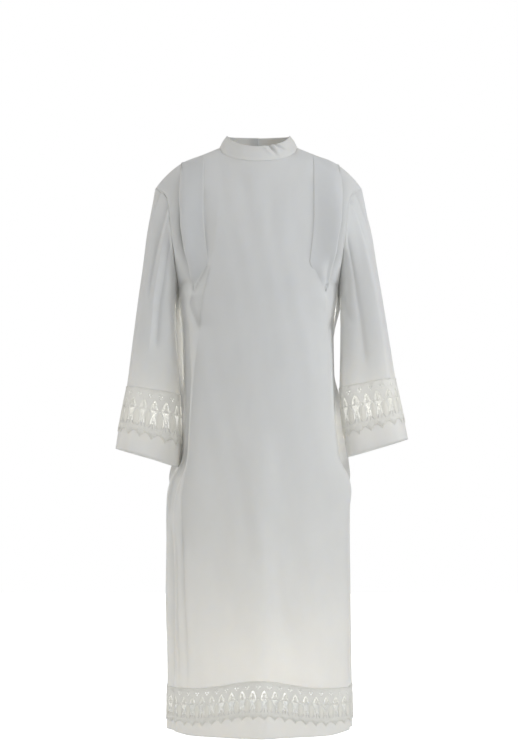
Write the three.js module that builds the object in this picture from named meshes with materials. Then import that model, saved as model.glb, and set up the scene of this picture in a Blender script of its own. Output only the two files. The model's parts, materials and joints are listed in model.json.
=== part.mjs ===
// A worn alb: a full-length white church robe with a stand collar, pleats from the shoulders, wide
// sleeves, and a band of cut lace set in above each cuff and above the hem.
// Millimetres, +Z up. The wearer faces -Y, and the wearer's left arm is at +X.
// The origin is the middle of the neck, level with the tops of the shoulder seams.
import * as THREE from "three";

// Cloth
const clothWall = 1.8;
const laceWall = 1.4;
const seamGap = 0.3; // between pieces that are sewn edge to edge
const layGap = 0.4; // under a piece that lies on another

// Heights on the body
const underarmHeight = -345;
const hemHeight = -1430;
const laceTopHeight = -1315;
const laceArch = 28; // how far the hem's lace arches up at the centre front
const laceArchSpread = 105;

// The body's level sections, from the underarm to the hem
const bodySections = [
  { z: underarmHeight, halfWidth: 197, front: 128, back: 118 },
  { z: -400, halfWidth: 192, front: 127, back: 118 },
  { z: -455, halfWidth: 188, front: 128, back: 120 },
  { z: -600, halfWidth: 190, front: 134, back: 128 },
  { z: -700, halfWidth: 193, front: 141, back: 136 },
  { z: -780, halfWidth: 199, front: 148, back: 143 },
  { z: -860, halfWidth: 214, front: 154, back: 150 },
  { z: -950, halfWidth: 223, front: 158, back: 155 },
  { z: -1100, halfWidth: 226, front: 163, back: 161 },
  { z: hemHeight, halfWidth: 230, front: 168, back: 170 },
];

// Long folds. at: the place across the panel, -1 at the right side seam to 1 at the left one.
// rise: how far the fold stands out, negative for a hollow. toCentre, toSide: its spread in millimetres.
const frontFolds = [
  { top: -300, bottom: -980, atTop: -0.66, atBottom: -0.62, rise: 9, toCentre: 40, toSide: 16 },
  { top: -340, bottom: -930, atTop: -0.8, atBottom: -0.76, rise: -7, toCentre: 16, toSide: 22 },
  { top: -420, bottom: -1800, atTop: 0.8, atBottom: 0.76, rise: 8, toCentre: 44, toSide: 16 },
  { top: -560, bottom: -1800, atTop: 0.89, atBottom: 0.88, rise: -6, toCentre: 15, toSide: 15 },
  { top: -520, bottom: -1800, atTop: -0.86, atBottom: -0.82, rise: 9, toCentre: 15, toSide: 20 },
  { top: -640, bottom: -1800, atTop: -0.72, atBottom: -0.69, rise: 7, toCentre: 13, toSide: 13 },
  { top: -560, bottom: -1800, atTop: 0.02, atBottom: 0.04, rise: 9, toCentre: 34, toSide: 28 },
  { top: -600, bottom: -1800, atTop: 0.26, atBottom: 0.28, rise: -9, toCentre: 60, toSide: 70 },
  { top: -700, bottom: -1800, atTop: -0.34, atBottom: -0.36, rise: -7, toCentre: 60, toSide: 50 },
];
const backFolds = [
  { top: -260, bottom: -1800, atTop: -0.62, atBottom: -0.7, rise: 12, toCentre: 34, toSide: 26 },
  { top: -260, bottom: -1800, atTop: 0.6, atBottom: 0.68, rise: 12, toCentre: 34, toSide: 26 },
  { top: -330, bottom: -1800, atTop: -0.36, atBottom: -0.4, rise: -10, toCentre: 30, toSide: 30 },
  { top: -300, bottom: -1800, atTop: 0.34, atBottom: 0.41, rise: -11, toCentre: 28, toSide: 32 },
  { top: -420, bottom: -1800, atTop: -0.14, atBottom: -0.15, rise: 11, toCentre: 34, toSide: 34 },
  { top: -480, bottom: -1800, atTop: 0.12, atBottom: 0.14, rise: 9, toCentre: 30, toSide: 30 },
  { top: -560, bottom: -1800, atTop: 0.86, atBottom: 0.88, rise: -8, toCentre: 16, toSide: 16 },
  { top: -600, bottom: -1800, atTop: -0.86, atBottom: -0.88, rise: -8, toCentre: 16, toSide: 16 },
];

// The neckline, where the collar stands
const neckline = {
  halfWidth: 95,
  sideHeight: 0,
  front: { reach: 90, height: -54 },
  back: { reach: 74, height: 8 },
};
const collarTop = {
  halfWidth: 78,
  sideHeight: 29,
  front: { reach: 77, height: -17 },
  back: { reach: 62, height: 41 },
};

// The shoulder seam and the armhole
const shoulderPoint = { x: 256, y: 5, z: -101 };
const shoulderSlope = 0.44;
const shoulderDrop = 30.2; // what the seam falls in its last stretch, past the slope
const armholeReach = { front: 82, back: 78 };
const armholeFlare = 30; // how far the armhole turns out over the top of the arm

// Sleeves. The ends of the section where the lace starts and of the cuff's edge, as seen from the front
const sleeveEnds = {
  left: {
    lace: { outerX: 341, outerZ: -565, innerX: 205, innerZ: -589 },
    cuff: { outerX: 366, outerZ: -714, innerX: 217, innerZ: -758 },
  },
  right: {
    lace: { outerX: 328, outerZ: -585, innerX: 200, innerZ: -606 },
    cuff: { outerX: 350, outerZ: -737, innerX: 203, innerZ: -778 },
  },
};
const sleeveHalfDepth = { lace: 57, cuff: 65 };
const sleeveForward = { lace: -8, cuff: -14 };
// at: the angle round the sleeve in degrees, 0 on the outside, 90 at the front, 180 beside the body
const sleeveFolds = [
  { top: 0.1, bottom: 1.6, at: 98, rise: -6, spread: 24 },
  { top: 0.02, bottom: 1.6, at: 52, rise: 5, spread: 20 },
  { top: 0.2, bottom: 1.6, at: 140, rise: 5, spread: 20 },
  { top: 0.15, bottom: 1.6, at: 262, rise: -7, spread: 26 },
  { top: 0.1, bottom: 1.6, at: 306, rise: 5, spread: 22 },
];

// Lace. One hole for each repeat, where the net triangle opens between two leaves
const hemLaceHeight = 94;
const cuffLaceShare = 0.735; // of the length from the lace's top to the cuff's edge
const laceShares = { holeTop: 0.41, holeBottom: 0.65, notch: 0.88, clothStart: 0.7 };
const holeHalfWidth = 0.3; // of one repeat
const laceOverlap = 6; // how far the lace's top border lies over the cloth

// Grids: two columns for each repeat of the lace
const panelColumns = 48;
const neckColumns = 8; // columns from the centre to the neck's side
const pleatColumns = { first: 37, last: 42 }; // of the left pleat
const pleatShift = 0.12; // how far the pleats lean in, across the panel
const placket = { rows: 5, first: 23, last: 25 };
const sleeveColumns = 32;
const yokeRows = [0, 0.2, 0.4, 0.58, 0.73, 0.86, 0.95, 1];
const skirtRows = [-1180, -1060, -950, -860, -780, -700, -600, -525, -455, -400];
const sleeveRows = [0, 0.05, 0.12, 0.2, 0.3, 0.4, 0.5, 0.6, 0.7, 0.8, 0.9, 1];

const materials = {
  cloth: new THREE.MeshStandardMaterial({ color: 0xececea, roughness: 0.85, metalness: 0 }),
  lace: new THREE.MeshStandardMaterial({ color: 0xe9e7dc, roughness: 0.9, metalness: 0 }),
  button: new THREE.MeshStandardMaterial({ color: 0xf2f0ea, roughness: 0.35, metalness: 0 }),
};

const { lerp, smoothstep, degToRad } = THREE.MathUtils;
const vector = (x, y, z) => new THREE.Vector3(x, y, z);
const between = (a, b, share) => a.clone().lerp(b, share);

// A column of a table at a height between its rows, without corners at the rows.
function sectionAt(z, column) {
  const rows = bodySections;
  let i = rows.findIndex((row) => z > row.z);
  if (i < 0) i = rows.length - 1;
  i = Math.max(1, i);
  const slope = (k) => {
    const a = rows[Math.max(0, k - 1)];
    const b = rows[Math.min(rows.length - 1, k + 1)];
    return (b[column] - a[column]) / (b.z - a.z);
  };
  const span = rows[i].z - rows[i - 1].z;
  const t = THREE.MathUtils.clamp((z - rows[i - 1].z) / span, 0, 1);
  const curve = [
    (1 + 2 * t) * (1 - t) ** 2 * rows[i - 1][column],
    t * (1 - t) ** 2 * span * slope(i - 1),
    t * t * (3 - 2 * t) * rows[i][column],
    t * t * (t - 1) * span * slope(i),
  ];
  return curve.reduce((sum, term) => sum + term, 0);
}

// How far the folds push the cloth out. Folds die away at the side seams, where the panels meet.
function foldPush(folds, u, z, halfRound) {
  const pushed = folds.map((fold) => {
    const down = (fold.top - z) / (fold.top - fold.bottom);
    const at = lerp(fold.atTop, fold.atBottom, Math.min(1, Math.max(0, down)));
    const away = (u - at) * halfRound * Math.sign(at || 1);
    const spread = away > 0 ? fold.toSide : fold.toCentre;
    const grown = smoothstep(fold.top - z, 0, 260) * smoothstep(z - fold.bottom, 0, 200);
    return fold.rise * grown * Math.exp(-((away / spread) ** 2));
  });
  return pushed.reduce((sum, push) => sum + push, 0) * (1 - Math.abs(u) ** 10);
}

// A point of the body below the underarm. u runs from -1 at one side seam to 1 at the other.
function skirtPoint(face, u, z) {
  const width = sectionAt(z, "halfWidth");
  const depth = sectionAt(z, face);
  const evenness = (width ** 2 - depth ** 2) / (width ** 2 + depth ** 2) / 4;
  const turn = (u * Math.PI) / 2;
  const angle = turn - evenness * Math.sin(2 * turn);
  const towards = face === "front" ? -1 : 1;
  const out = vector(Math.sin(angle) / width, (towards * Math.cos(angle)) / depth, 0).normalize();
  const halfRound = (Math.PI / 2) * Math.sqrt((width ** 2 + depth ** 2) / 2);
  const push = foldPush(face === "front" ? frontFolds : backFolds, u, z, halfRound);
  return vector(width * Math.sin(angle), towards * depth * Math.cos(angle), z).addScaledVector(out, push);
}

// A point of an oval round the neck. angle: 0 at the middle of the front or back, a right angle at the side
function neckPoint(oval, face, angle) {
  const towards = face === "front" ? -1 : 1;
  const share = Math.cos(angle);
  const height = lerp(oval.sideHeight, oval[face].height, share);
  return vector(oval.halfWidth * Math.sin(angle), towards * oval[face].reach * share, height);
}

// The panel's top edge: the shoulder seam, the neckline, and the other shoulder seam.
const neckShare = (2 * neckColumns) / panelColumns;
function topPoint(face, u) {
  const across = Math.abs(u);
  if (across <= neckShare) return neckPoint(neckline, face, ((u / neckShare) * Math.PI) / 2);
  const along = (across - neckShare) / (1 - neckShare);
  const run = (shoulderPoint.x - neckline.halfWidth) * along;
  const height = neckline.sideHeight - shoulderSlope * run - shoulderDrop * along ** 5;
  return vector(Math.sign(u) * (neckline.halfWidth + run), shoulderPoint.y * along, height);
}

// The armhole's edge on one panel, from the underarm, up 0, to the shoulder point, up 1.
function armholePoint(face, side, up) {
  const towards = face === "front" ? -1 : 1;
  const start = sectionAt(underarmHeight, "halfWidth");
  const lean = shoulderPoint.x - armholeFlare - start;
  const reach = armholeReach[face] * Math.sin(Math.PI * up) ** 0.75;
  return vector(
    side * (start + lean * up + armholeFlare * up ** 14),
    shoulderPoint.y * up + towards * reach,
    lerp(underarmHeight, shoulderPoint.z, up),
  );
}

// A point of the panel above the underarm: up 0 there, up 1 on its top edge.
function yokeCurve(face, u, up) {
  const towards = face === "front" ? -1 : 1;
  const start = skirtPoint(face, u, underarmHeight);
  const end = topPoint(face, u);
  const rise = end.z - start.z;
  const onShoulder = smoothstep(Math.abs(u), 0.06, neckShare + 0.06);
  const leave = vector(0, -towards * lerp(80, 345, onShoulder), lerp(185, 60, onShoulder));
  return new THREE.CubicBezierCurve3(
    start,
    start.clone().add(vector(0, 0, rise / 3)),
    end.clone().addScaledVector(leave, -1 / 3),
    end,
  ).getPoint(up);
}
function yokePoint(face, u, up) {
  const side = u < 0 ? -1 : 1;
  const height = yokeCurve(face, side, up).z;
  const onEdge = (height - underarmHeight) / (shoulderPoint.z - underarmHeight);
  const pull = armholePoint(face, side, Math.min(1, onEdge)).sub(yokeCurve(face, side, up));
  const share = smoothstep(Math.abs(u), 0.45, 1);
  return yokeCurve(face, u, up).add(vector(pull.x * share ** 2, pull.y * share, 0));
}

// The height of the hem's lace, which arches up at the centre front.
function laceTopAt(face, u) {
  if (face === "back") return laceTopHeight;
  const across = u * 310;
  return laceTopHeight + laceArch * Math.exp(-((across / laceArchSpread) ** 2));
}

// Grids of points: columns run so that the cloth's outside faces out when rows run up.
const panelAcross = Array.from({ length: panelColumns + 1 }, (_, i) => -1 + (2 * i) / panelColumns);
const acrossOf = (face) => (face === "front" ? panelAcross : [...panelAcross].reverse());

// The grid's columns follow the pleats, which lean towards the middle on the chest.
function pleatLean(u, z) {
  const lean = smoothstep(-z, 60, 290) * (1 - smoothstep(-z, 330, 600));
  const share = THREE.MathUtils.clamp((Math.abs(u) - 0.15) / 0.85, 0, 1);
  return u - Math.sign(u) * pleatShift * lean * Math.sin(Math.PI * share);
}

function panelGrid(face) {
  const across = acrossOf(face);
  const bottom = across.map((u) => skirtPoint(face, u, laceTopAt(face, u) - laceOverlap));
  const skirt = skirtRows.map((z) => across.map((u) => skirtPoint(face, pleatLean(u, z), z)));
  const yoke = yokeRows.map((up) =>
    across.map((u) => yokePoint(face, pleatLean(u, lerp(underarmHeight, 0, up)), up)),
  );
  return [bottom, ...skirt, ...yoke];
}

// Triangles of a grid whose rows follow each other in one list of points.
function gridTriangles(rows, columns) {
  const triangles = [];
  for (let row = 0; row < rows - 1; row++) {
    for (let column = 0; column < columns - 1; column++) {
      const a = row * columns + column;
      const b = a + columns;
      triangles.push([a, a + 1, b + 1], [a, b + 1, b]);
    }
  }
  return triangles;
}

// The outward direction at each point, from the triangles around it.
function normalsOf(points, triangles) {
  const normals = points.map(() => vector(0, 0, 0));
  for (const [a, b, c] of triangles) {
    const face = points[b].clone().sub(points[a]).cross(points[c].clone().sub(points[a]));
    for (const corner of [a, b, c]) normals[corner].add(face);
  }
  return normals.map((normal) => normal.normalize());
}

// A closed wall on an open surface, from one distance off it to another. Every free edge gets a rim.
function wallGeometry(points, triangles, normals, inside, outside) {
  const count = points.length;
  const positions = [inside, outside].flatMap((off) =>
    points.flatMap((point, i) => point.clone().addScaledVector(normals[i], off).toArray()),
  );
  const edges = new Map();
  for (const [a, b, c] of triangles) {
    for (const [from, to] of [[a, b], [b, c], [c, a]]) edges.set(`${from} ${to}`, [from, to]);
  }
  const index = [];
  for (const [a, b, c] of triangles) {
    index.push(a + count, b + count, c + count, a, c, b);
  }
  for (const [from, to] of edges.values()) {
    if (edges.has(`${to} ${from}`)) continue;
    index.push(from, to, to + count, from, to + count, from + count);
  }
  const geometry = new THREE.BufferGeometry();
  geometry.setAttribute("position", new THREE.Float32BufferAttribute(positions, 3));
  geometry.setIndex(index);
  return geometry;
}

const robe = new THREE.Group();
function addPiece(name, geometry, material) {
  const mesh = new THREE.Mesh(geometry, material);
  mesh.name = name;
  robe.add(mesh);
  return mesh;
}

// A grid as a wall. Its edges draw back by half a seam's gap, and named places get a set direction.
function addCloth(name, grid, options = {}) {
  const { material = materials.cloth, from = -clothWall, to = 0, set = () => null } = options;
  const edgeGap = options.edgeGap ?? seamGap * 0.6;
  const columns = grid[0].length;
  const triangles = gridTriangles(grid.length, columns);
  const flat = grid.flat();
  const normals = normalsOf(flat, triangles).map(
    (normal, i) => set(Math.floor(i / columns), i % columns) ?? normal,
  );
  const drawn = grid.flatMap((row, r) =>
    row.map((point, c) => {
      const moved = point.clone();
      const inwards = [];
      if (c === 0) inwards.push(row[1]);
      if (c === columns - 1) inwards.push(row[columns - 2]);
      if (r === 0) inwards.push(grid[1][c]);
      if (r === grid.length - 1) inwards.push(grid[grid.length - 2][c]);
      for (const next of inwards) {
        moved.addScaledVector(next.clone().sub(point).normalize(), edgeGap);
      }
      return moved;
    }),
  );
  addPiece(name, wallGeometry(drawn, triangles, normals, from, to), material);
}

// Directions that two pieces share where they meet, so that their edges stay side by side.
const sideNormal = (side) => vector(side, 0, 0);
function shoulderNormal(u) {
  const seam = topPoint("front", Math.abs(u) + 0.02).sub(topPoint("front", Math.abs(u)));
  return vector(-Math.sign(u) * seam.z, 0, seam.x).normalize();
}
function armholeNormal(point, side) {
  const middle = (underarmHeight + shoulderPoint.z) / 2;
  const up = (point.z - underarmHeight) / (shoulderPoint.z - underarmHeight);
  return vector(side * 0.6 * up ** 6, point.y / 82, (point.z - middle) / 124).normalize();
}

// Each panel is cut in one. It stands here in parts, so that its collision pieces follow it closely.
const panelParts = [
  { part: "skirt", rows: [0, 4] },
  { part: "body", rows: [4, 11] },
  { part: "chest", rows: [11, 14], halves: true },
  { part: "shoulder", rows: [14, 18], halves: true },
];
function addPanel(face) {
  const grid = panelGrid(face);
  const across = acrossOf(face);
  const firstYokeRow = grid.length - yokeRows.length;
  const shared = normalsOf(grid.flat(), gridTriangles(grid.length, across.length));
  const normalAt = (row, column) => {
    const u = across[column];
    if (Math.abs(u) === 1) {
      return row <= firstYokeRow ? sideNormal(u) : armholeNormal(grid[row][column], u);
    }
    const onShoulder = row === grid.length - 1 && Math.abs(u) > neckShare - 0.01;
    return onShoulder ? shoulderNormal(u) : shared[row * across.length + column];
  };
  const middle = panelColumns / 2;
  const halves = face === "front" ? ["_right", "_left"] : ["_left", "_right"];
  for (const { part, rows, halves: split } of panelParts) {
    const spans = split ? [[0, middle], [middle, panelColumns]] : [[0, panelColumns]];
    spans.forEach(([first, last], i) => {
      const cut = grid.slice(rows[0], rows[1] + 1).map((row) => row.slice(first, last + 1));
      addCloth(`${face}_panel_${part}${split ? halves[i] : ""}`, cut, {
        edgeGap: seamGap * 0.8,
        set: (row, column) => normalAt(row + rows[0], column + first),
      });
    });
  }
  return grid;
}

// A strip that lies on a panel is made from the panel's points, in its last rows.
const stripGrid = (grid, rowCount, columns) =>
  grid.slice(-rowCount).map((row) => row.slice(columns.first, columns.last + 1));

// The pleats: a folded strip of the front from each shoulder seam to the chest, where it lets go.
function addPleat(name, grid, side) {
  const columns =
    side > 0
      ? pleatColumns
      : { first: panelColumns - pleatColumns.last, last: panelColumns - pleatColumns.first };
  const strip = stripGrid(grid, yokeRows.length - 1, columns);
  addCloth(name, strip, {
    from: layGap,
    to: layGap + clothWall,
    set: (row, column) =>
      row === strip.length - 1 ? shoulderNormal(panelAcross[columns.first + column]) : null,
  });
}

// The collar is one strip. Its end laps over its start at the centre back.
const collarRows = [0, 0.5, 1];
const collarLap = 1.3; // columns of lap
function collarPoint(share, up) {
  // share: 0 at the centre back, 1 after one turn
  const turn = -share * 2 * Math.PI;
  const face = Math.cos(turn) > 0 ? "back" : "front";
  const angle = Math.asin(Math.sin(turn));
  const low = neckPoint(neckline, face, angle).add(vector(0, 0, 2 * seamGap));
  const high = neckPoint(collarTop, face, angle);
  const belly = 2.5 * Math.sin(Math.PI * up);
  const out = vector(low.x, low.y, 0).normalize();
  return between(low, high, up).addScaledVector(out, belly);
}
function collarGrid() {
  const columns = 4 * neckColumns;
  const shares = Array.from({ length: columns + 1 }, (_, i) => i / columns);
  shares.push(1 + collarLap / columns);
  return collarRows.map((up) =>
    shares.map((share) => {
      const lift = (clothWall + layGap) * smoothstep(share, 1 - 3.5 / columns, 1 - 0.5 / columns);
      const point = collarPoint(share, up);
      return point.addScaledVector(vector(point.x, point.y, 0).normalize(), lift);
    }),
  );
}

// A small flat button with a raised rim and a dished middle, on the collar's lap.
const buttonRadius = 6;
function addButton() {
  const profile = [
    [0, 0], [buttonRadius - 0.6, 0], [buttonRadius, 0.7], [buttonRadius, 1.7],
    [buttonRadius - 0.9, 2.4], [buttonRadius - 2, 1.7], [0, 1.5],
  ].map(([r, h]) => new THREE.Vector2(r, h));
  const button = addPiece("collar_button", new THREE.LatheGeometry(profile, 20), materials.button);
  const share = 0.35 / (4 * neckColumns);
  const seat = collarPoint(share, 0.5);
  const along = collarPoint(share + 0.01, 0.5).sub(collarPoint(share - 0.01, 0.5));
  const out = along.cross(collarPoint(share, 1).sub(collarPoint(share, 0))).normalize();
  if (out.y < 0) out.negate();
  button.position.copy(seat.addScaledVector(out, clothWall + 2 * layGap + 0.2));
  button.quaternion.setFromUnitVectors(vector(0, 1, 0), out);
}

// The back opening's placket: a narrow strip down the centre back from the collar.
function addPlacket(grid) {
  addCloth("back_placket", stripGrid(grid, placket.rows, placket), {
    from: layGap,
    to: layGap + laceWall,
  });
}

// The sleeve's section: an oval from its inner end to its outer end, seen from the front, with folds.
function sleeveOval(ends, halfDepth, forward, side, angle, down) {
  const outer = vector(side * ends.outerX, forward, ends.outerZ);
  const inner = vector(side * ends.innerX, forward, ends.innerZ);
  const middle = between(outer, inner, 0.5);
  const reach = outer.sub(inner).multiplyScalar(0.5);
  const out = vector(
    (reach.x * Math.cos(angle)) / reach.lengthSq(),
    -Math.sin(angle) / halfDepth,
    (reach.z * Math.cos(angle)) / reach.lengthSq(),
  ).normalize();
  const pushed = sleeveFolds.map((fold) => {
    const away = Math.abs(((angle * 180) / Math.PI - fold.at + 540) % 360 - 180);
    const grown = smoothstep(down, fold.top, fold.top + 0.35);
    return fold.rise * grown * Math.exp(-((away / fold.spread) ** 2));
  });
  return middle
    .addScaledVector(reach, Math.cos(angle))
    .add(vector(0, -halfDepth * Math.sin(angle), 0))
    .addScaledVector(out, pushed.reduce((sum, push) => sum + push, 0));
}

// A point of the sleeve. down: 0 at the armhole, 1 where the lace starts
function sleevePoint(name, side, armhole, angle, down) {
  const { lace } = sleeveEnds[name];
  const outerShare = 1 - (1 - down) ** 1.3;
  const innerShare = down ** 1.45;
  const underarmX = sectionAt(underarmHeight, "halfWidth");
  const ends = {
    outerX: lerp(shoulderPoint.x, lace.outerX, outerShare) + 4 * Math.sin(Math.PI * outerShare),
    outerZ: lerp(shoulderPoint.z, lace.outerZ, outerShare),
    innerX: lerp(underarmX, lace.innerX, innerShare) + 8 * Math.sin(Math.PI * innerShare ** 0.5),
    innerZ: lerp(underarmHeight, lace.innerZ, innerShare),
  };
  const halfDepth = lerp(armholeReach.front, sleeveHalfDepth.lace, down);
  const oval = sleeveOval(ends, halfDepth, sleeveForward.lace * down, side, angle, down);
  return between(armhole, oval, smoothstep(down, 0, 0.4));
}

// A point below the sleeve's cloth. down: 0 at the lace's top, 1 at the cuff's edge
function cuffPoint(name, side, angle, down) {
  const { lace, cuff } = sleeveEnds[name];
  const top = sleeveOval(lace, sleeveHalfDepth.lace, sleeveForward.lace, side, angle, 1);
  const edge = sleeveOval(cuff, sleeveHalfDepth.cuff, sleeveForward.cuff, side, angle, 1);
  return between(top, edge, down);
}

// The armhole's edge as the two panels have it, as points round the sleeve from the shoulder point.
function armholeLoop(grids, side) {
  const edge = (face) => {
    const grid = grids[face];
    const column = acrossOf(face).indexOf(side);
    return yokeRows.map((_, i) => grid[grid.length - yokeRows.length + i][column]);
  };
  const loop = [...edge("front").reverse(), ...edge("back").slice(1)];
  return Array.from({ length: sleeveColumns + 1 }, (_, i) => {
    const place = (i / sleeveColumns) * (loop.length - 1);
    const cell = Math.min(loop.length - 2, Math.floor(place));
    return between(loop[cell], loop[cell + 1], place - cell);
  });
}

const sleeveAngles = Array.from({ length: sleeveColumns + 1 }, (_, i) => (i / sleeveColumns) * 2 * Math.PI);
const outFacing = (row, side) => (side > 0 ? row : [...row].reverse());

// A tube's grid closes on itself, so its last column is its first.
function addTube(name, grid, options = {}) {
  const { from = -clothWall, to = 0, set = () => null, material = materials.cloth } = options;
  const columns = grid[0].length - 1;
  const points = grid.flatMap((row) => row.slice(0, columns));
  const triangles = gridTriangles(grid.length, columns + 1).map((triangle) =>
    triangle.map((i) => Math.floor(i / (columns + 1)) * columns + ((i % (columns + 1)) % columns)),
  );
  const normals = normalsOf(points, triangles).map(
    (normal, i) => set(Math.floor(i / columns), points[i]) ?? normal,
  );
  addPiece(name, wallGeometry(points, triangles, normals, from, to), material);
}

function addSleeve(name, side, grids) {
  const armhole = armholeLoop(grids, side);
  const rows = sleeveRows.map((down) =>
    sleeveAngles.map((angle, i) => {
      const point = sleevePoint(name, side, armhole[i], angle, down);
      return down === 0 ? point.add(vector(side * 1.6 * seamGap, 0, -seamGap)) : point;
    }),
  );
  rows.push(sleeveAngles.map((angle) => cuffPoint(name, side, angle, laceOverlap / 156)));
  const underarm = (point) => vector(-side, 0, -1).normalize().lerp(armholeNormal(point, side), 0.3);
  addTube(`${name}_sleeve`, rows.map((row) => outFacing(row, side)), {
    set: (row, point) => {
      if (row > 0) return null;
      return point.z < underarmHeight + 8 ? underarm(point).normalize() : armholeNormal(point, side);
    },
  });
}

// A band of lace. place(column, share) gives the cloth's surface: two columns for each repeat, and
// share 0 at the lace's top to 1 at its points. Each repeat has one cut hole and one point below.
function addLace(name, place, repeats) {
  const points = [];
  const triangles = [];
  const add = (point) => points.push(point) - 1;
  const column = (c, shares) => shares.map((share) => add(place(c, share)));
  const { holeTop, holeBottom, notch } = laceShares;
  let [top, middle, low, bottom] = column(0, [0, holeTop, holeBottom, notch]);
  for (let repeat = 0; repeat < repeats; repeat++) {
    const start = 2 * repeat;
    const half = 2 * holeHalfWidth;
    const peak = add(place(start + 1, 0));
    const left = add(between(place(start, holeTop), place(start + 1, holeTop), 1 - half));
    const right = add(between(place(start + 1, holeTop), place(start + 2, holeTop), half));
    const [apex, tip] = column(start + 1, [holeBottom, 1]);
    const [nextTop, nextMiddle, nextLow, nextBottom] = column(start + 2, [0, holeTop, holeBottom, notch]);
    triangles.push(
      [top, middle, left], [top, left, peak], [peak, left, right],
      [peak, right, nextTop], [nextTop, right, nextMiddle],
      [middle, low, apex], [middle, apex, left], [right, apex, nextLow], [right, nextLow, nextMiddle],
      [low, bottom, tip], [low, tip, apex], [apex, tip, nextBottom], [apex, nextBottom, nextLow],
    );
    [top, middle, low, bottom] = [nextTop, nextMiddle, nextLow, nextBottom];
  }
  const normals = normalsOf(points, triangles);
  addPiece(name, wallGeometry(points, triangles, normals, layGap, layGap + laceWall), materials.lace);
}

// Below the panels: the hem's lace, and the plain hem that starts behind it.
const sideInset = 0.0012; // of the panel's width, so that front and back part at the side seams
function addHem(face) {
  const across = acrossOf(face).map((u) => u * (1 - sideInset));
  addLace(
    `hem_lace_${face}`,
    (column, share) => {
      const u = across[column];
      return skirtPoint(face, u, laceTopAt(face, u) - share * hemLaceHeight);
    },
    panelColumns / 2,
  );
  const top = (u) => laceTopAt(face, u) - laceShares.clothStart * hemLaceHeight;
  const grid = [0, 1].map((up) =>
    acrossOf(face).map((u) => skirtPoint(face, u, lerp(hemHeight, top(u), up))),
  );
  addCloth(`hem_band_${face}`, grid, {
    set: (row, column) => {
      const u = acrossOf(face)[column];
      return Math.abs(u) === 1 ? sideNormal(u) : null;
    },
  });
}

// Below each sleeve's cloth: the lace, in a front and a back half, and the plain cuff behind it.
function addCuff(name, side) {
  const halves = { front: 0, back: sleeveColumns / 2 };
  for (const [half, first] of Object.entries(halves)) {
    const count = sleeveColumns / 2;
    const angleAt = (column) => {
      const place = side > 0 ? count - column : column;
      const inset = 0.03 * (place === 0 ? 1 : place === count ? -1 : 0);
      return ((first + place + inset) / sleeveColumns) * 2 * Math.PI;
    };
    addLace(
      `${name}_cuff_lace_${half}`,
      (column, share) => cuffPoint(name, side, angleAt(column), share * cuffLaceShare),
      count / 2,
    );
  }
  const rows = [laceShares.clothStart * cuffLaceShare, 1].map((down) =>
    outFacing(sleeveAngles.map((angle) => cuffPoint(name, side, angle, down)), side),
  );
  addTube(`${name}_cuff_band`, rows);
}

const grids = { front: addPanel("front"), back: addPanel("back") };
addPleat("right_pleat", grids.front, -1);
addPleat("left_pleat", grids.front, 1);
addCloth("collar", collarGrid());
addButton();
addPlacket(grids.back);
addHem("front");
addHem("back");
for (const [name, side] of [["right", -1], ["left", 1]]) {
  addSleeve(name, side, grids);
  addCuff(name, side);
}

export default robe;
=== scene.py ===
import json
import math

import bpy
import numpy as np
from mathutils import Matrix, Vector
from mathutils.geometry import delaunay_2d_cdt

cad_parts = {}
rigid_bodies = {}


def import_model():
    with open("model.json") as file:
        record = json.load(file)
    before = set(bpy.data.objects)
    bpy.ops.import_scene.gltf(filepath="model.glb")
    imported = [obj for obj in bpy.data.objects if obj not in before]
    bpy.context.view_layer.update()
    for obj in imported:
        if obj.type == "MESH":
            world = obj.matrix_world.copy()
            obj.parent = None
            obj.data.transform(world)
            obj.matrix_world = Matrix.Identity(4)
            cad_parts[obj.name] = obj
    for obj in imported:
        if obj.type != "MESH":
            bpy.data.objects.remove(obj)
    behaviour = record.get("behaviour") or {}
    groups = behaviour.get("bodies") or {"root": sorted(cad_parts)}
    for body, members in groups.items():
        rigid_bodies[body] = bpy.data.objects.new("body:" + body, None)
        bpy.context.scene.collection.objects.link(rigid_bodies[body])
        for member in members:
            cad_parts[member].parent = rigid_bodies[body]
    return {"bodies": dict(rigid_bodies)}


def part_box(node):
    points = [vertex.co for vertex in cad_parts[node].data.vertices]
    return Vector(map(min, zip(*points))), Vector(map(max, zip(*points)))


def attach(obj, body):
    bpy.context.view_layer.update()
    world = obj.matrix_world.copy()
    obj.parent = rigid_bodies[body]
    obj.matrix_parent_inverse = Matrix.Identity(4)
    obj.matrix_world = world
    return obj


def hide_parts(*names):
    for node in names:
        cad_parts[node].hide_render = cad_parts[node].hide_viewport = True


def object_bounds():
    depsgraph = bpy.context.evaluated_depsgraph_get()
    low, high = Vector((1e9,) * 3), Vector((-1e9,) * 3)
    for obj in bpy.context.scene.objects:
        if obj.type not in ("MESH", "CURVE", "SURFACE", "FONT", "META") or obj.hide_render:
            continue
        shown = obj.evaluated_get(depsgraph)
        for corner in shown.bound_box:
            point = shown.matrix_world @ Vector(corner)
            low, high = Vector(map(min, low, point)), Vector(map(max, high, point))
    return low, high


print("loading the frame")
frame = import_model()
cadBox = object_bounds()
millimetre = 0.001
root = next(iter(frame["bodies"]), "root")

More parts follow.
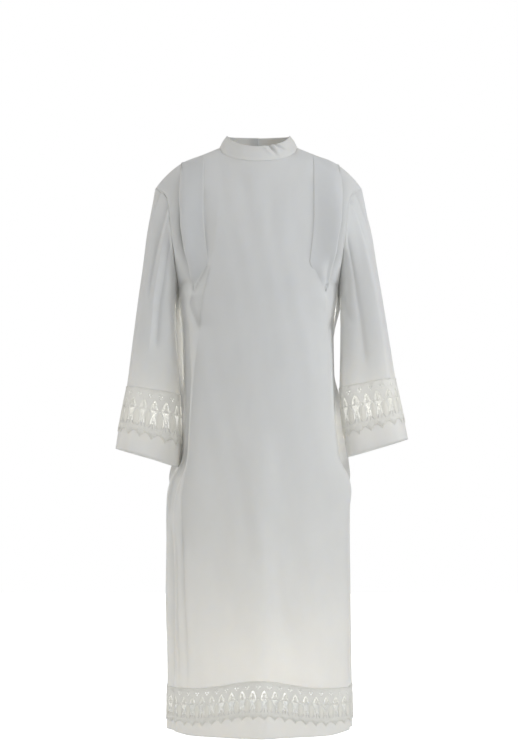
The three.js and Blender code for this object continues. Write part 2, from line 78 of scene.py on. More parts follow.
# ---- the body of the robe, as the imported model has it
bodyShape = {
    "underarm": -345,
    "hem": -1430,
    "heights": [-345, -400, -455, -600, -700, -780, -860, -950, -1100, -1430],
    "halfWidth": [197, 192, 188, 190, 193, 199, 214, 223, 226, 230],
    "front": [128, 127, 128, 134, 141, 148, 154, 158, 163, 168],
    "back": [118, 118, 120, 128, 136, 143, 150, 155, 161, 170],
}
foldColumns = ["top", "bottom", "atTop", "atBottom", "rise", "toCentre", "toSide"]
longFolds = {
    "front": [
        [-300, -980, -0.66, -0.62, 9, 40, 16],
        [-340, -930, -0.8, -0.76, -7, 16, 22],
        [-420, -1800, 0.8, 0.76, 8, 44, 16],
        [-560, -1800, 0.89, 0.88, -6, 15, 15],
        [-520, -1800, -0.86, -0.82, 9, 15, 20],
        [-640, -1800, -0.72, -0.69, 7, 13, 13],
        [-560, -1800, 0.02, 0.04, 9, 34, 28],
        [-600, -1800, 0.26, 0.28, -9, 60, 70],
        [-700, -1800, -0.34, -0.36, -7, 60, 50],
    ],
    "back": [
        [-260, -1800, -0.62, -0.7, 12, 34, 26],
        [-260, -1800, 0.6, 0.68, 12, 34, 26],
        [-330, -1800, -0.36, -0.4, -10, 30, 30],
        [-300, -1800, 0.34, 0.41, -11, 28, 32],
        [-420, -1800, -0.14, -0.15, 11, 34, 34],
        [-480, -1800, 0.12, 0.14, 9, 30, 30],
        [-560, -1800, 0.86, 0.88, -8, 16, 16],
        [-600, -1800, -0.86, -0.88, -8, 16, 16],
    ],
}
neckShape = {
    "share": 1 / 3,  # of the panel's width, at its top
    "base": {"halfWidth": 95, "side": 0, "front": (90, -54), "back": (74, 8)},
    "top": {"halfWidth": 78, "side": 29, "front": (77, -17), "back": (62, 41)},
}
shoulder = {"x": 256, "y": 5, "z": -101, "slope": 0.44, "drop": 30.2}
armhole = {"front": 82, "back": 78, "flare": 30}
hemLace = {"top": -1315, "arch": 28, "archSpread": 105, "halfRound": 310, "height": 94}


def smooth(x, low, high):
    share = np.clip((np.asarray(x, float) - low) / (high - low), 0, 1)
    return share * share * (3 - 2 * share)


def mix(a, b, share):
    return a + (b - a) * share


def stacked(x, y, z):
    return np.stack(np.broadcast_arrays(x, y, z), axis=-1).astype(float)


def unit(v):
    return v / np.maximum(np.linalg.norm(v, axis=-1, keepdims=True), 1e-9)


def hump(away, spread, power=2):
    # 1 at a place, falling off to both its sides
    return np.exp(-(np.abs(away / spread) ** power))


def alongLine(points):
    # how far along a line each of its points is
    return np.concatenate([[0], np.cumsum(np.linalg.norm(np.diff(points, axis=0), axis=1))])


def towards(face):
    return -1 if face == "front" else 1


def tableAt(z, heights, values):
    # a smooth line through values that are given at heights, from the top down
    heights, values = np.array(heights, float), np.array(values, float)
    index = np.arange(len(values))
    above, below = np.maximum(index - 1, 0), np.minimum(index + 1, len(values) - 1)
    slopes = (values[below] - values[above]) / (heights[below] - heights[above])
    row = np.clip(np.searchsorted(-heights, -np.asarray(z, float), side="right"), 1, len(values) - 1)
    span = heights[row] - heights[row - 1]
    t = np.clip((z - heights[row - 1]) / span, 0, 1)
    start = (1 + 2 * t) * (1 - t) ** 2 * values[row - 1] + t * (1 - t) ** 2 * span * slopes[row - 1]
    return start + t * t * (3 - 2 * t) * values[row] + t * t * (t - 1) * span * slopes[row]


def sectionAt(z, column):
    return tableAt(z, bodyShape["heights"], bodyShape[column])


def foldPush(face, u, z, halfRound):
    total = 0
    for values in longFolds[face]:
        fold = dict(zip(foldColumns, values))
        down = np.clip((fold["top"] - z) / (fold["top"] - fold["bottom"]), 0, 1)
        at = mix(fold["atTop"], fold["atBottom"], down)
        away = (u - at) * halfRound * np.sign(at)
        spread = np.where(away > 0, fold["toSide"], fold["toCentre"])
        grown = smooth(fold["top"] - z, 0, 260) * smooth(z - fold["bottom"], 0, 200)
        total = total + fold["rise"] * grown * hump(away, spread)
    return total * (1 - np.abs(u) ** 10)


def skirtPoint(face, u, z):
    width, depth = sectionAt(z, "halfWidth"), sectionAt(z, face)
    evenness = (width**2 - depth**2) / (width**2 + depth**2) / 4
    turn = u * math.pi / 2
    angle = turn - evenness * np.sin(2 * turn)
    side = towards(face)
    out = unit(stacked(np.sin(angle) / width, side * np.cos(angle) / depth, 0 * angle))
    push = foldPush(face, u, z, math.pi / 2 * np.sqrt((width**2 + depth**2) / 2))
    return stacked(width * np.sin(angle), side * depth * np.cos(angle), z) + out * push[..., None]


def neckPoint(oval, face, angle):
    reach, height = oval[face]
    share = np.cos(angle)
    lift = mix(oval["side"], height, share)
    return stacked(oval["halfWidth"] * np.sin(angle), towards(face) * reach * share, lift)


def topPoint(face, u):
    across = np.abs(u)
    base, share = neckShape["base"], neckShape["share"]
    neck = neckPoint(base, face, np.clip(u / share, -1, 1) * math.pi / 2)
    along = np.clip((across - share) / (1 - share), 0, 1.1)
    run = (shoulder["x"] - base["halfWidth"]) * along
    height = base["side"] - shoulder["slope"] * run - shoulder["drop"] * along**5
    seam = stacked(np.sign(u) * (base["halfWidth"] + run), shoulder["y"] * along, height)
    return np.where((across <= share)[..., None], neck, seam)


def armholePoint(face, side, up):
    up = np.clip(up, 0, 1)
    start = sectionAt(bodyShape["underarm"], "halfWidth")
    lean = shoulder["x"] - armhole["flare"] - start
    reach = armhole[face] * np.sin(math.pi * up).clip(0) ** 0.75
    x = side * (start + lean * up + armhole["flare"] * up**14)
    y = shoulder["y"] * up + towards(face) * reach
    return stacked(x, y, mix(bodyShape["underarm"], shoulder["z"], up))


def yokeCurve(face, u, up):
    start = skirtPoint(face, u, np.full(np.shape(u), float(bodyShape["underarm"])))
    end = topPoint(face, u)
    rise = end[..., 2] - start[..., 2]
    onShoulder = smooth(np.abs(u), 0.06, neckShape["share"] + 0.06)
    leave = stacked(0, -towards(face) * mix(80, 345, onShoulder), mix(185, 60, onShoulder))
    low = start + stacked(0, 0, rise / 3)
    high = end - leave / 3
    t = up[..., None]
    return (1 - t) ** 3 * start + 3 * t * (1 - t) ** 2 * low + 3 * t * t * (1 - t) * high + t**3 * end


def yokePoint(face, u, up):
    side = np.where(u < 0, -1.0, 1.0)
    edge = yokeCurve(face, side, up)
    drop = shoulder["z"] - bodyShape["underarm"]
    pull = armholePoint(face, side, np.minimum(1, (edge[..., 2] - bodyShape["underarm"]) / drop)) - edge
    share = smooth(np.abs(u), 0.45, 1)
    return yokeCurve(face, u, up) + stacked(pull[..., 0] * share**2, pull[..., 1] * share, 0)


def panelPoint(face, u, level):
    # level is the height below the underarm, and runs on to 0 at the panel's top edge
    underarm = bodyShape["underarm"]
    skirt = skirtPoint(face, u, np.minimum(level, underarm))
    yoke = yokePoint(face, u, np.clip(level / -underarm + 1, 0, 1))
    return np.where((level <= underarm)[..., None], skirt, yoke)


def laceTopAt(face, u):
    if face == "back":
        return hemLace["top"] + 0 * u
    return hemLace["top"] + hemLace["arch"] * hump(u * hemLace["halfRound"], hemLace["archSpread"])


# ---- how this robe hangs: small shifts that every point near a place shares, so seams stay closed
# "across" and "below" say where a shift begins and where it is whole: half widths, and depths down.
# The hip's spread is above it and below it, and the inner drop is the right sleeve's and the left's
hang = {
    "shoulder": {"rise": 6.5, "at": 192, "spread": 42, "heights": (-170, -85)},
    "corner": {"rise": 8, "across": (165, 232), "below": (1365, 1430)},
    "lace": {"drop": 5, "more": 4, "spread": 110, "below": (1180, 1300), "upTo": (-1425, -1330)},
    "hip": {"flare": 14, "at": -824, "spread": (52, 85), "across": (150, 205), "below": (755, 815)},
    "hem": {"draw": 6.5, "across": (60, 230), "below": (1080, 1300)},
    "side": {"across": (110, 185), "behind": (12, 62), "dentAt": -22, "dentSpread": 40},
    "cuff": {"drop": 8.5, "below": (330, 590), "innerDrop": (6, 0), "innerBelow": (600, 790)},
    "sleeve": {"draw": 5, "below": (180, 330), "until": (560, 720), "across": (215, 290)},
    "inner": (206, 280),  # the inner half of a sleeve
}
# beside each sleeve the body gives way, and flares out behind it. Lengths at heights
sleeveSides = {
    "heights": [-325, -345, -365, -400, -455, -504, -560, -615, -660, -700, -750, -790, -850, -920],
    "right": {
        "sleeveIn": [0, 0, 0, 0, 2, 4, 6, 7.5, 10, 11, 11, 9, 8, 8],
        "dent": [0, 0, 0, 0, 1, 2, 4, 6, 8, 10, 11, 9, 3, 0],
        "flare": [4, 34, 46, 46, 43, 41, 38, 28, 24, 27, 30, 30, 12, 0],
    },
    "left": {
        "sleeveIn": [0, 0, 2, 5, 6, 6, 6, 6, 5.5, 4, 0, -1, -1, -1],
        "dent": [0, 0, 0, 1, 3, 3, 3, 3, 3, 2, 0, 0, 0, 0],
        "flare": [2, 32, 40, 36, 22, 9, 16, 34, 39, 41, 45, 40, 14, 0],
    },
}


def besideSleeve(x, z, column):
    heights = sleeveSides["heights"]
    return np.where(x < 0, *[tableAt(z, heights, sleeveSides[side][column]) for side in ("right", "left")])


def shoulderLift(wide, z):
    s = hang["shoulder"]
    return s["rise"] * hump(wide - s["at"], s["spread"]) * smooth(z, *s["heights"])


def bodyHang(points):
    x, y, z = np.moveaxis(points, -1, 0)
    wide, side = np.abs(x), np.sign(x)
    corner, lace, hip, hem, beside = (hang[place] for place in ("corner", "lace", "hip", "hem", "side"))
    lift = shoulderLift(wide, z)
    lift = lift + corner["rise"] * (smooth(wide, *corner["across"]) * smooth(-z, *corner["below"]))
    drop = lace["drop"] + lace["more"] * hump(x, lace["spread"]) * (y < 0)
    lift = lift - drop * smooth(-z, *lace["below"]) * smooth(z, *lace["upTo"])
    flare = hip["flare"] * hump(z - hip["at"], np.where(z > hip["at"], *hip["spread"]))
    aside = side * flare * smooth(-z, *hip["below"]) * smooth(wide, *hip["across"])
    aside = aside + hem["draw"] * smooth(-z, *hem["below"]) * smooth(-x, *hem["across"])
    nearSleeve = smooth(wide, *beside["across"])
    aside = aside + side * besideSleeve(x, z, "flare") * smooth(y, *beside["behind"]) * nearSleeve
    dent = hump(y - beside["dentAt"], beside["dentSpread"])
    aside = aside - side * besideSleeve(x, z, "dent") * dent * nearSleeve
    return points + stacked(aside, 0, lift)


def sleeveHang(points):
    x, y, z = np.moveaxis(points, -1, 0)
    wide, side = np.abs(x), np.sign(x)
    cuff, sleeve = hang["cuff"], hang["sleeve"]
    inner = 1 - smooth(wide, *hang["inner"])
    drop = cuff["drop"] + np.where(x < 0, *cuff["innerDrop"]) * inner * smooth(-z, *cuff["innerBelow"])
    lift = shoulderLift(wide, z) - drop * smooth(-z, *cuff["below"])
    draw = sleeve["draw"] * (1 - smooth(-z, *sleeve["until"]))
    aside = -side * draw * smooth(-z, *sleeve["below"]) * smooth(wide, *sleeve["across"])
    aside = aside - side * besideSleeve(x, z, "sleeveIn") * inner
    return points + stacked(aside, 0, lift)


# ---- sheets of cloth
sheetSettings = {"thickness": 1.2, "rim": 0.4, "seamSpread": 3.5}


def gridNormals(grid, around=False):
    if around:
        across = np.roll(grid, -1, axis=1) - np.roll(grid, 1, axis=1)
    else:
        across = np.gradient(grid, axis=1)
    return unit(np.cross(across, np.gradient(grid, axis=0)))


def arcLengths(grid, axis):
    steps = np.linalg.norm(np.diff(grid, axis=axis), axis=-1)
    return np.concatenate([[0], np.cumsum(steps.mean(axis=1 - axis))])


def pushed(grid, amount, around=False):
    return grid + gridNormals(grid, around) * np.asarray(amount)[..., None]


def finishPiece(piece, material, replaced=()):
    piece.data.materials.append(material)
    piece.data.shade_smooth()
    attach(piece, root)
    if replaced:
        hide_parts(*replaced)
    return piece


def addObject(name, data, at=(0, 0, 0)):
    thing = bpy.data.objects.new(name, data)
    thing.location = at
    bpy.context.collection.objects.link(thing)
    return thing


def meshPiece(name, points, faces, corners, marks=None):
    mesh = bpy.data.meshes.new(name)
    mesh.from_pydata((np.asarray(points) * millimetre).tolist(), [], [list(map(int, f)) for f in faces])
    layer = mesh.uv_layers.new(name="UVMap")
    layer.data.foreach_set("uv", (np.asarray(corners) * millimetre).ravel())
    for label, values in (marks or {}).items():
        mesh.attributes.new(label, "FLOAT", "POINT").data.foreach_set("value", np.asarray(values, float))
    mesh.update()
    return addObject(name, mesh)


def clothSheet(name, grid, material, replaced=(), around=False, thickness=None, shade=None):
    # a closed thin wall on a grid of points, with rounded rims. shade is painted shade: it darkens the
    # cloth's colour at the points in a fold, through the fold attribute
    thickness = thickness or sheetSettings["thickness"]
    rows, columns = grid.shape[:2]
    normals = gridNormals(grid, around)
    shade = (np.zeros((rows, columns)) if shade is None else shade).ravel()
    shades = [shade, shade]
    inner = grid - normals * thickness
    wide = columns if around else columns - 1
    row, column = np.meshgrid(np.arange(rows - 1), np.arange(wide), indexing="ij")
    following = (column + 1) % columns
    a, b = row * columns + column, row * columns + following
    quads = np.stack([a, b, b + columns, a + columns], axis=-1).reshape(-1, 4)
    full = np.concatenate([grid, grid[:, :1]], axis=1) if around else grid
    uv = np.stack(np.meshgrid(arcLengths(full, 0), arcLengths(full, 1), indexing="ij")[::-1], axis=-1)
    corner = [uv[row, column], uv[row, column + 1], uv[row + 1, column + 1], uv[row + 1, column]]
    uvQuads = np.stack(corner, axis=2).reshape(-1, 4, 2)
    index = np.arange(rows * columns).reshape(rows, columns)
    if around:
        loops = [(index[0], index[1], uv[0]), (index[-1][::-1], index[-2][::-1], uv[-1][::-1])]
    else:
        # once round the sheet's edge, and the points one step in from it
        rings = ((index, 0, -1, -1, 0), (index, 1, -2, -2, 1), (uv, 0, -1, -1, 0))
        ring, near, ringUv = (
            np.concatenate([of[low, :-1], of[:-1, right], of[high, :0:-1], of[:0:-1, left]])
            for of, low, right, high, left in rings
        )
        loops = [(ring, near, np.concatenate([ringUv, ringUv[:1]]))]
    count = rows * columns
    flat = grid.reshape(-1, 3)
    points = [flat, inner.reshape(-1, 3)]
    faces, corners = [quads, quads[:, ::-1] + count], [uvQuads, uvQuads[:, ::-1]]
    base = 2 * count
    for loop, near, loopUv in loops:
        size = len(loop)
        middle = (points[0][loop] + points[1][loop]) / 2
        points.append(middle + unit(flat[loop] - flat[near]) * thickness * sheetSettings["rim"])
        shades.append(shade[loop])
        here, there = np.arange(size), (np.arange(size) + 1) % size
        start, end = base + here, base + there
        faces.append(np.stack([start, end, loop[there], loop[here]], axis=-1))
        faces.append(np.stack([loop[here] + count, loop[there] + count, end, start], axis=-1))
        edge = np.stack([loopUv[here], loopUv[here + 1], loopUv[here + 1], loopUv[here]], axis=1)
        corners += [edge, edge]
        base += size
    # the fold attribute carries the painted shade of the folds
    marks = {"fold": np.concatenate(shades)}
    piece = meshPiece(name, np.concatenate(points), np.concatenate(faces), np.concatenate(corners), marks)
    return finishPiece(piece, material, replaced)


def seamDip(grid, sides, depth):
    # the cloth turns in along its seams
    steps = np.linalg.norm(np.diff(grid, axis=1), axis=-1)
    zero = np.zeros((len(grid), 1))
    fromLeft = np.concatenate([zero, np.cumsum(steps, axis=1)], axis=1)
    fromRight = fromLeft[:, -1:] - fromLeft
    rowSteps = np.linalg.norm(np.diff(grid, axis=0), axis=-1)
    fromLow = np.concatenate([0 * grid[:1, :, 0], np.cumsum(rowSteps, axis=0)], axis=0)
    distance = {"left": fromLeft, "right": fromRight, "low": fromLow, "high": fromLow[-1:] - fromLow}
    return -depth * sum(hump(distance[side], sheetSettings["seamSpread"]) for side in sides)


def ripples(along, down, seed, rise=0.5):
    # slow unevenness that every worn cloth has, longer down the cloth than across it
    chance = np.random.default_rng(seed)
    total = 0
    for _ in range(7):
        across, length, phase = chance.uniform(45, 150), chance.uniform(200, 620), chance.uniform(0, 6.3)
        total = total + np.sin(along / across * 2 * math.pi + down / length * 2 * math.pi + phase)
    return total * rise / 2


# ---- materials
clothColours = {"cloth": (0.825, 0.824, 0.799), "lace": (0.905, 0.9, 0.86), "cord": (0.915, 0.905, 0.84)}
clothFinish = {"Sheen Weight": 0.4, "Sheen Roughness": 0.45, "Specular IOR Level": 0.3}
# light spreads in the thin white cloth, and comes through it a little warmer
clothScatter = {
    "Subsurface Weight": 0.4,
    "Subsurface Radius": (1.0, 0.85, 0.65),
    "Subsurface Scale": 0.009,
}


def newMaterial(name):
    material = bpy.data.materials.new(name)
    material.use_nodes = True
    return material, material.node_tree, material.node_tree.nodes["Principled BSDF"]


def setInputs(node, values):
    for label, value in values.items():
        node.inputs[label].default_value = value


def addNode(tree, kind, values=None, links=None):
    node = tree.nodes.new(f"ShaderNode{kind}")
    setInputs(node, values or {})
    for label, output in (links or {}).items():
        tree.links.new(output, node.inputs[label])
    return node


def rampNode(tree, factor, ends):
    # ends: the two places on the ramp and their colours
    ramp = addNode(tree, "ValToRGB", links={0: factor})
    for element, (place, colour) in zip(ramp.color_ramp.elements, ends):
        element.position, element.color = place, (*colour, 1)
    return ramp.outputs[0]


def newGroup(name, inputs, outputs):
    group = bpy.data.node_groups.new(name, "ShaderNodeTree")
    for way, sockets in (("INPUT", inputs), ("OUTPUT", outputs)):
        for label, kind in sockets.items():
            group.interface.new_socket(name=label, in_out=way, socket_type=f"NodeSocket{kind}")
    return group, group.nodes.new("NodeGroupInput"), group.nodes.new("NodeGroupOutput")


def mathNode(tree, operation, a, b=None):
    node = addNode(tree, "Math")
    node.operation = operation
    for place, value in enumerate([a, b]):
        if isinstance(value, float):
            node.inputs[place].default_value = value
        elif value is not None:
            tree.links.new(value, node.inputs[place])
    return node.outputs[0]


def weaveGroup():
    # threads that pass over and under each other
    inputs = {"Vector": "Vector", "Threads": "Float"}
    group, start, end = newGroup("plainWeave", inputs, {"Height": "Float"})
    split = addNode(group, "SeparateXYZ", links={0: start.outputs["Vector"]})
    waves = []
    for axis in ("X", "Y"):
        turned = mathNode(group, "MULTIPLY", split.outputs[axis], start.outputs["Threads"])
        waves.append(mathNode(group, "SINE", mathNode(group, "MULTIPLY", turned, math.pi)))
    height = mathNode(group, "MULTIPLY", *waves)
    group.links.new(mathNode(group, "ABSOLUTE", height), end.inputs["Height"])
    return group


def rumpleGroup():
    # slow unevenness of the surface, stretched down the cloth
    group, start, end = newGroup("rumple", {"Vector": "Vector", "Size": "Float"}, {"Height": "Float"})
    mapping = addNode(group, "Mapping", {"Scale": (1.0, 0.45, 1.0)}, {"Vector": start.outputs["Vector"]})
    links = {"Vector": mapping.outputs[0], "Scale": start.outputs["Size"]}
    noise = addNode(group, "TexNoise", {"Detail": 3, "Roughness": 0.45}, links)
    group.links.new(noise.outputs["Fac"], end.inputs["Height"])
    return group


weave, rumple = weaveGroup(), rumpleGroup()


def placedGroup(tree, group, vector, value):
    node = tree.nodes.new("ShaderNodeGroup")
    node.node_tree = group
    tree.links.new(vector, node.inputs["Vector"])
    node.inputs[1].default_value = value
    return node.outputs["Height"]


def bumped(tree, height, distance, strength, normal=None):
    values = {"Distance": distance * millimetre, "Strength": strength}
    links = {"Height": height} if normal is None else {"Height": height, "Normal": normal}
    return addNode(tree, "Bump", values, links).outputs["Normal"]


def clothMaterial(name, colour, cord=None, **changes):
    look = {"threads": 1800.0, "weaveDepth": 0.05, "rumpleDepth": 0.6, "roughness": 0.78, **changes}
    material, tree, shader = newMaterial(name)
    uv = tree.nodes.new("ShaderNodeUVMap")
    uv.uv_map = "UVMap"
    threadsHeight = placedGroup(tree, weave, uv.outputs["UV"], look["threads"])
    slow = placedGroup(tree, rumple, uv.outputs["UV"], 20.0)
    base = rampNode(tree, slow, [(0.3, [c * 0.965 for c in colour]), (0.75, colour)])
    # lace cords take their own colour, and the cloth's colour is darkened with painted shade where the fold
    # attribute says that a fold is
    label, other = ("fold", [c * 0.2 for c in colour]) if cord is None else ("cord", cord)
    attribute = tree.nodes.new("ShaderNodeAttribute")
    attribute.attribute_name = label
    blend = tree.nodes.new("ShaderNodeMix")
    blend.data_type = "RGBA"
    blend.inputs[7].default_value = (*other, 1)
    tree.links.new(attribute.outputs["Fac"], blend.inputs[0])
    tree.links.new(base, blend.inputs[6])
    tree.links.new(blend.outputs[2], shader.inputs["Base Color"])
    scatter = clothScatter if cord is None else {}
    setInputs(shader, {"Roughness": look["roughness"], **clothFinish, **scatter})
    normal = bumped(tree, slow, look["rumpleDepth"], 0.5)
    normal = bumped(tree, threadsHeight, look["weaveDepth"], 0.6, normal)
    tree.links.new(normal, shader.inputs["Normal"])
    return material


clothMat = clothMaterial("albCloth", clothColours["cloth"])
bandMat = clothMaterial("hemCloth", clothColours["cloth"], rumpleDepth=0.35)
collarMat = clothMaterial("collarCloth", clothColours["cloth"], rumpleDepth=0.3)
laceLook = {"threads": 1100.0, "weaveDepth": 0.12, "rumpleDepth": 0.2, "roughness": 0.88}
laceMat = clothMaterial("laceThread", clothColours["lace"], cord=clothColours["cord"], **laceLook)
threadMat = clothMaterial("sewingThread", clothColours["cord"], threads=3000.0, roughness=0.6)

# ---- front and back
panelSettings = {
    "columns": 226,
    "skirtRows": 128,
    "yokeRows": 58,
    "closer": {"by": 1.2, "at": 0.68, "spread": 0.2},  # columns at the pleats and the side folds
    "easing": {"reach": 16, "spread": 8, "across": 0.15, "up": (0.84, 0.995)},
    "seed": {"front": 11, "back": 12},
    # creaseShade is painted shade: how much darker the cloth's colour is painted in a crease's valley
    "creaseShade": 0.015,  # for each millimetre that a crease goes in
    "flat": {"front": (0.70, 1.33), "back": (0.74, 1.34)},
}
# sharp creases of the front: x and z of their line from the top down, how far they rise, and how wide
# they are to each side of the line, left and right as seen from the front
frontCreases = [
    # beside the pleats
    ([(-194, -40), (-193, -110), (-190, -160), (-188, -222), (-180, -275), (-169, -315)], -9, 17, 5),
    ([(206, -40), (208, -120), (204, -200), (193, -270)], -7, 5, 13),
    ([(-126, -160), (-125, -240), (-116, -304)], -2.5, 5, 12),
    ([(-94, -150), (-100, -230), (-113, -290), (-122, -350)], 4, 16, 26),
    # where the right pleat lets go
    ([(-112, -300), (-122.5, -352), (-130.6, -384), (-135.3, -422), (-140.5, -466)], 5.5, 5, 40),
    ([(-163, -360), (-161, -397), (-158.7, -411), (-149.6, -432), (-141.5, -462)], 5, 24, 4),
    # down the side, beside the sleeve
    ([(-141, -430), (-149.5, -554), (-154, -640), (-165, -803), (-176, -900), (-186, -1040)], 9, 9, 60),
    ([(-160, -470), (-166, -560), (-174, -700), (-183, -820), (-190, -930)], -6, 14, 8),
    ([(-181, -850), (-180, -1050), (-172, -1330)], -4.5, 4, 10),
    ([(-198, -900), (-195, -1330)], -4, 4, 7),
    ([(-211, -880), (-207, -1100), (-210, -1330)], -4.5, 4, 6),
    ([(-186, -720), (-214, -925)], -6, 6, 11),
    ([(203, -640), (206, -900), (210, -1100), (214, -1330)], 8, 22, 4),
    ([(211, -640), (214, -900), (218, -1100), (221, -1330)], -7, 4, 6),
    # small dents on the left
    ([(203, -350), (188, -420), (166, -490)], -6, 6, 14),
    ([(176, -270), (164, -330), (157, -400)], -5, 7, 12),
    ([(149, -290), (157, -350), (162, -430)], 5, 14, 8),
]
# painted shade: the cloth's colour is darkened along these folds, where shade falls in them: the line, how
# much, and how wide
foldShades = [
    (
        [(-191, -62), (-188, -110), (-186, -156), (-184, -220), (-175.5, -272), (-166, -311), (-158, -368)],
        *(0.3, 20, 2),
    ),
    ([(-130, -110), (-130, -190), (-127, -240), (-118.5, -304)], 0.16, 2, 9),
    ([(-119, -306), (-132, -330), (-146, -351), (-157, -374)], 0.3, 3, 5),
    ([(-158, -372), (-161.5, -397), (-159, -412), (-149.6, -433), (-141.5, -464)], 0.22, 2, 14),
    ([(-113, -310), (-122.5, -352), (-131, -384), (-136, -422), (-141, -470)], 0.26, 7, 2),
    (
        [(-141, -462), (-149, -554), (-153.5, -640), (-164.5, -803), (-175.5, -900), (-186, -1040)],
        *(0.2, 2, 16),
    ),
    ([(-181, -880), (-180, -1050), (-172, -1330)], 0.11, 3, 4),
    ([(-198, -930), (-195, -1330)], 0.08, 3, 3),
    ([(-211, -900), (-207, -1100), (-210, -1330)], 0.08, 3, 3),
    ([(-188, -740), (-214, -915)], 0.12, 4, 9),
    ([(205, -560), (209, -900), (213, -1100), (218, -1330)], 0.16, 6, 2),
    ([(134, -75), (134, -190), (130.5, -240), (122, -304)], 0.16, 8, 2),
    ([(202, -60), (203, -120), (199, -200), (188, -276), (177, -320)], 0.26, 2, 14),
]


def creasePush(x, z, creases, power=1.3, ends=0.3):
    total = 0 * x
    for line, rise, left, right in creases:
        lineX, lineZ = np.array(line, float).T
        away = x - np.interp(-z, -lineZ, lineX)
        fade = ends * (lineZ[0] - lineZ[-1])
        grown = smooth(lineZ[0] - z, 0, fade) * smooth(z - lineZ[-1], 0, fade)
        total = total + rise * grown * hump(away, np.where(away < 0, left, right), power)
    return total


def acrossPanel(face):
    closer = panelSettings["closer"]
    fine = np.linspace(-1, 1, 2001)
    density = 1 + closer["by"] * hump(np.abs(fine) - closer["at"], closer["spread"])
    place = np.concatenate([[0], np.cumsum((density[1:] + density[:-1]) / 2)])
    across = np.interp(np.linspace(0, place[-1], panelSettings["columns"]), place, fine)
    return across if face == "front" else across[::-1]


def eased(grid, u, up):
    # takes the corner that the neckline has at the collar's ends out of the cloth below it
    s = panelSettings["easing"]
    weights = hump(np.arange(-s["reach"], s["reach"] + 1), s["spread"])
    padded = np.pad(grid, ((0, 0), (s["reach"], s["reach"]), (0, 0)), mode="edge")
    soft = sum(w * padded[:, i : i + grid.shape[1]] for i, w in enumerate(weights / weights.sum()))
    share = hump(np.abs(u) - neckShape["share"], s["across"]) * smooth(up, 0, 0.2)
    return mix(grid, soft, (share * (1 - smooth(up, *s["up"])))[..., None])


def panelGrid(face):
    across = acrossPanel(face)
    underarm = bodyShape["underarm"]
    low = laceTopAt(face, across) - 6
    shares = np.linspace(0, 1, panelSettings["skirtRows"])[:, None]
    skirt = mix(low[None, :], float(underarm), shares)
    yoke = np.linspace(underarm, 0, panelSettings["yokeRows"])[1:, None] + 0 * across[None, :]
    level = np.concatenate([skirt, yoke])
    u = np.broadcast_to(across, level.shape)
    grid = eased(panelPoint(face, u, level), u, np.clip(level / -underarm + 1, 0, 1))
    x, z = grid[..., 0], grid[..., 2]
    push = ripples(x, z, panelSettings["seed"][face]) * (1 - np.abs(u) ** 8)
    push = push * smooth(-level, 0, 120) * smooth(level - hemLace["top"], 0, 160)
    shade = 0 * push
    if face == "front":
        creased = creasePush(x, z, frontCreases) * (1 - np.abs(u) ** 14)
        push = push + creased
        # painted shade: the cloth's colour is darkened along the listed fold lines and in the valleys of
        # the creases
        shade = creasePush(x, z, foldShades, 1.0, 0.16)
        shade = np.clip(shade + panelSettings["creaseShade"] * np.maximum(0, -creased), 0, 0.6)
    dips = seamDip(grid, sides=("left", "right", "high"), depth=1.0)
    return bodyHang(pushed(grid, push + dips)), shade


def panelNodes(face):
    halves = [f"{part}_{side}" for part in ("chest", "shoulder") for side in ("right", "left")]
    return [f"{face}_panel_{part}" for part in ["skirt", "body"] + halves]


def makePanel(face):
    grid, shade = panelGrid(face)
    piece = clothSheet(f"{face}Panel", grid, clothMat, replaced=panelNodes(face), shade=shade)
    return grid


print("front and back")
grids = {face: makePanel(face) for face in ("front", "back")}

# ---- stitches
stitchSettings = {"pitch": 3.0, "half": 1.1, "width": 0.275, "height": 0.35}


def makeStitches(name, lines, sunk=0.05):
    # lines: pairs of points and outward directions. Each stitch is a slim eight-sided bead
    pitch, half, width, height = (stitchSettings[key] for key in ("pitch", "half", "width", "height"))
    points, faces = [], []
    for line, normals in lines:
        lengths = alongLine(line)
        places = np.arange(pitch / 2, lengths[-1], pitch)

        def at(values, shift=0):
            return np.stack([np.interp(places + shift, lengths, values[:, k]) for k in range(3)], axis=1)

        out, along = unit(at(normals)), unit(at(line, 1) - at(line, -1))
        for c, a, w, o in zip(at(line) - out * sunk, along, unit(np.cross(out, along)), out):
            base = len(points)
            points += [c - a * half, c + w * width, c + a * half, c - w * width]
            points += [c + o * height, c - o * height]
            faces += [(base + i, base + (i + 1) % 4, base + 5) for i in range(4)]
            faces += [(base + (i + 1) % 4, base + i, base + 4) for i in range(4)]
    return finishPiece(meshPiece(name, points, faces, np.zeros((len(faces) * 3, 2))), threadMat)


# ---- the pleats: folded strips that lie on the front and let go at a point on the chest
pleatSettings = {
    "right": {  # x and z of the seam and of the fold, down to their tip
        "inner": [(-133, 0), (-132.5, -190), (-129, -240), (-120.5, -304), (-134, -327), (-147.5, -347)],
        "outer": [(-191, 0), (-189, -75), (-186.5, -156), (-184.3, -220), (-176, -272), (-166.6, -311)],
        "tip": (-158, -372),
    },
    "left": {
        "inner": [(134, 0), (133.5, -190), (130, -240), (121.5, -304), (135, -329), (149, -350)],
        "outer": [(198, 0), (200, -60), (201, -120), (197, -200), (186, -276), (175, -320)],
        "tip": (161, -376),
    },
    "stitchedTo": -303,
    "across": [0, 0.03, 0.09, 0.18, 0.3, 0.45, 0.6, 0.72, 0.82, 0.9, 0.96, 1],
    "thickness": 0.9,
    "hover": 0.4,
    "edgeLift": 1.4,
    "roll": 5.2,
    "tail": 5,  # the cloth that turns back under the fold
    "flat": (0.07, 0.38),
    "area": 0.0235,
}


def sampled(values, rows, places):
    low = np.clip(np.floor(places).astype(int), 0, values.shape[1] - 2)
    share = (places - low)[..., None]
    return mix(values[rows[:, None], low], values[rows[:, None], low + 1], share)


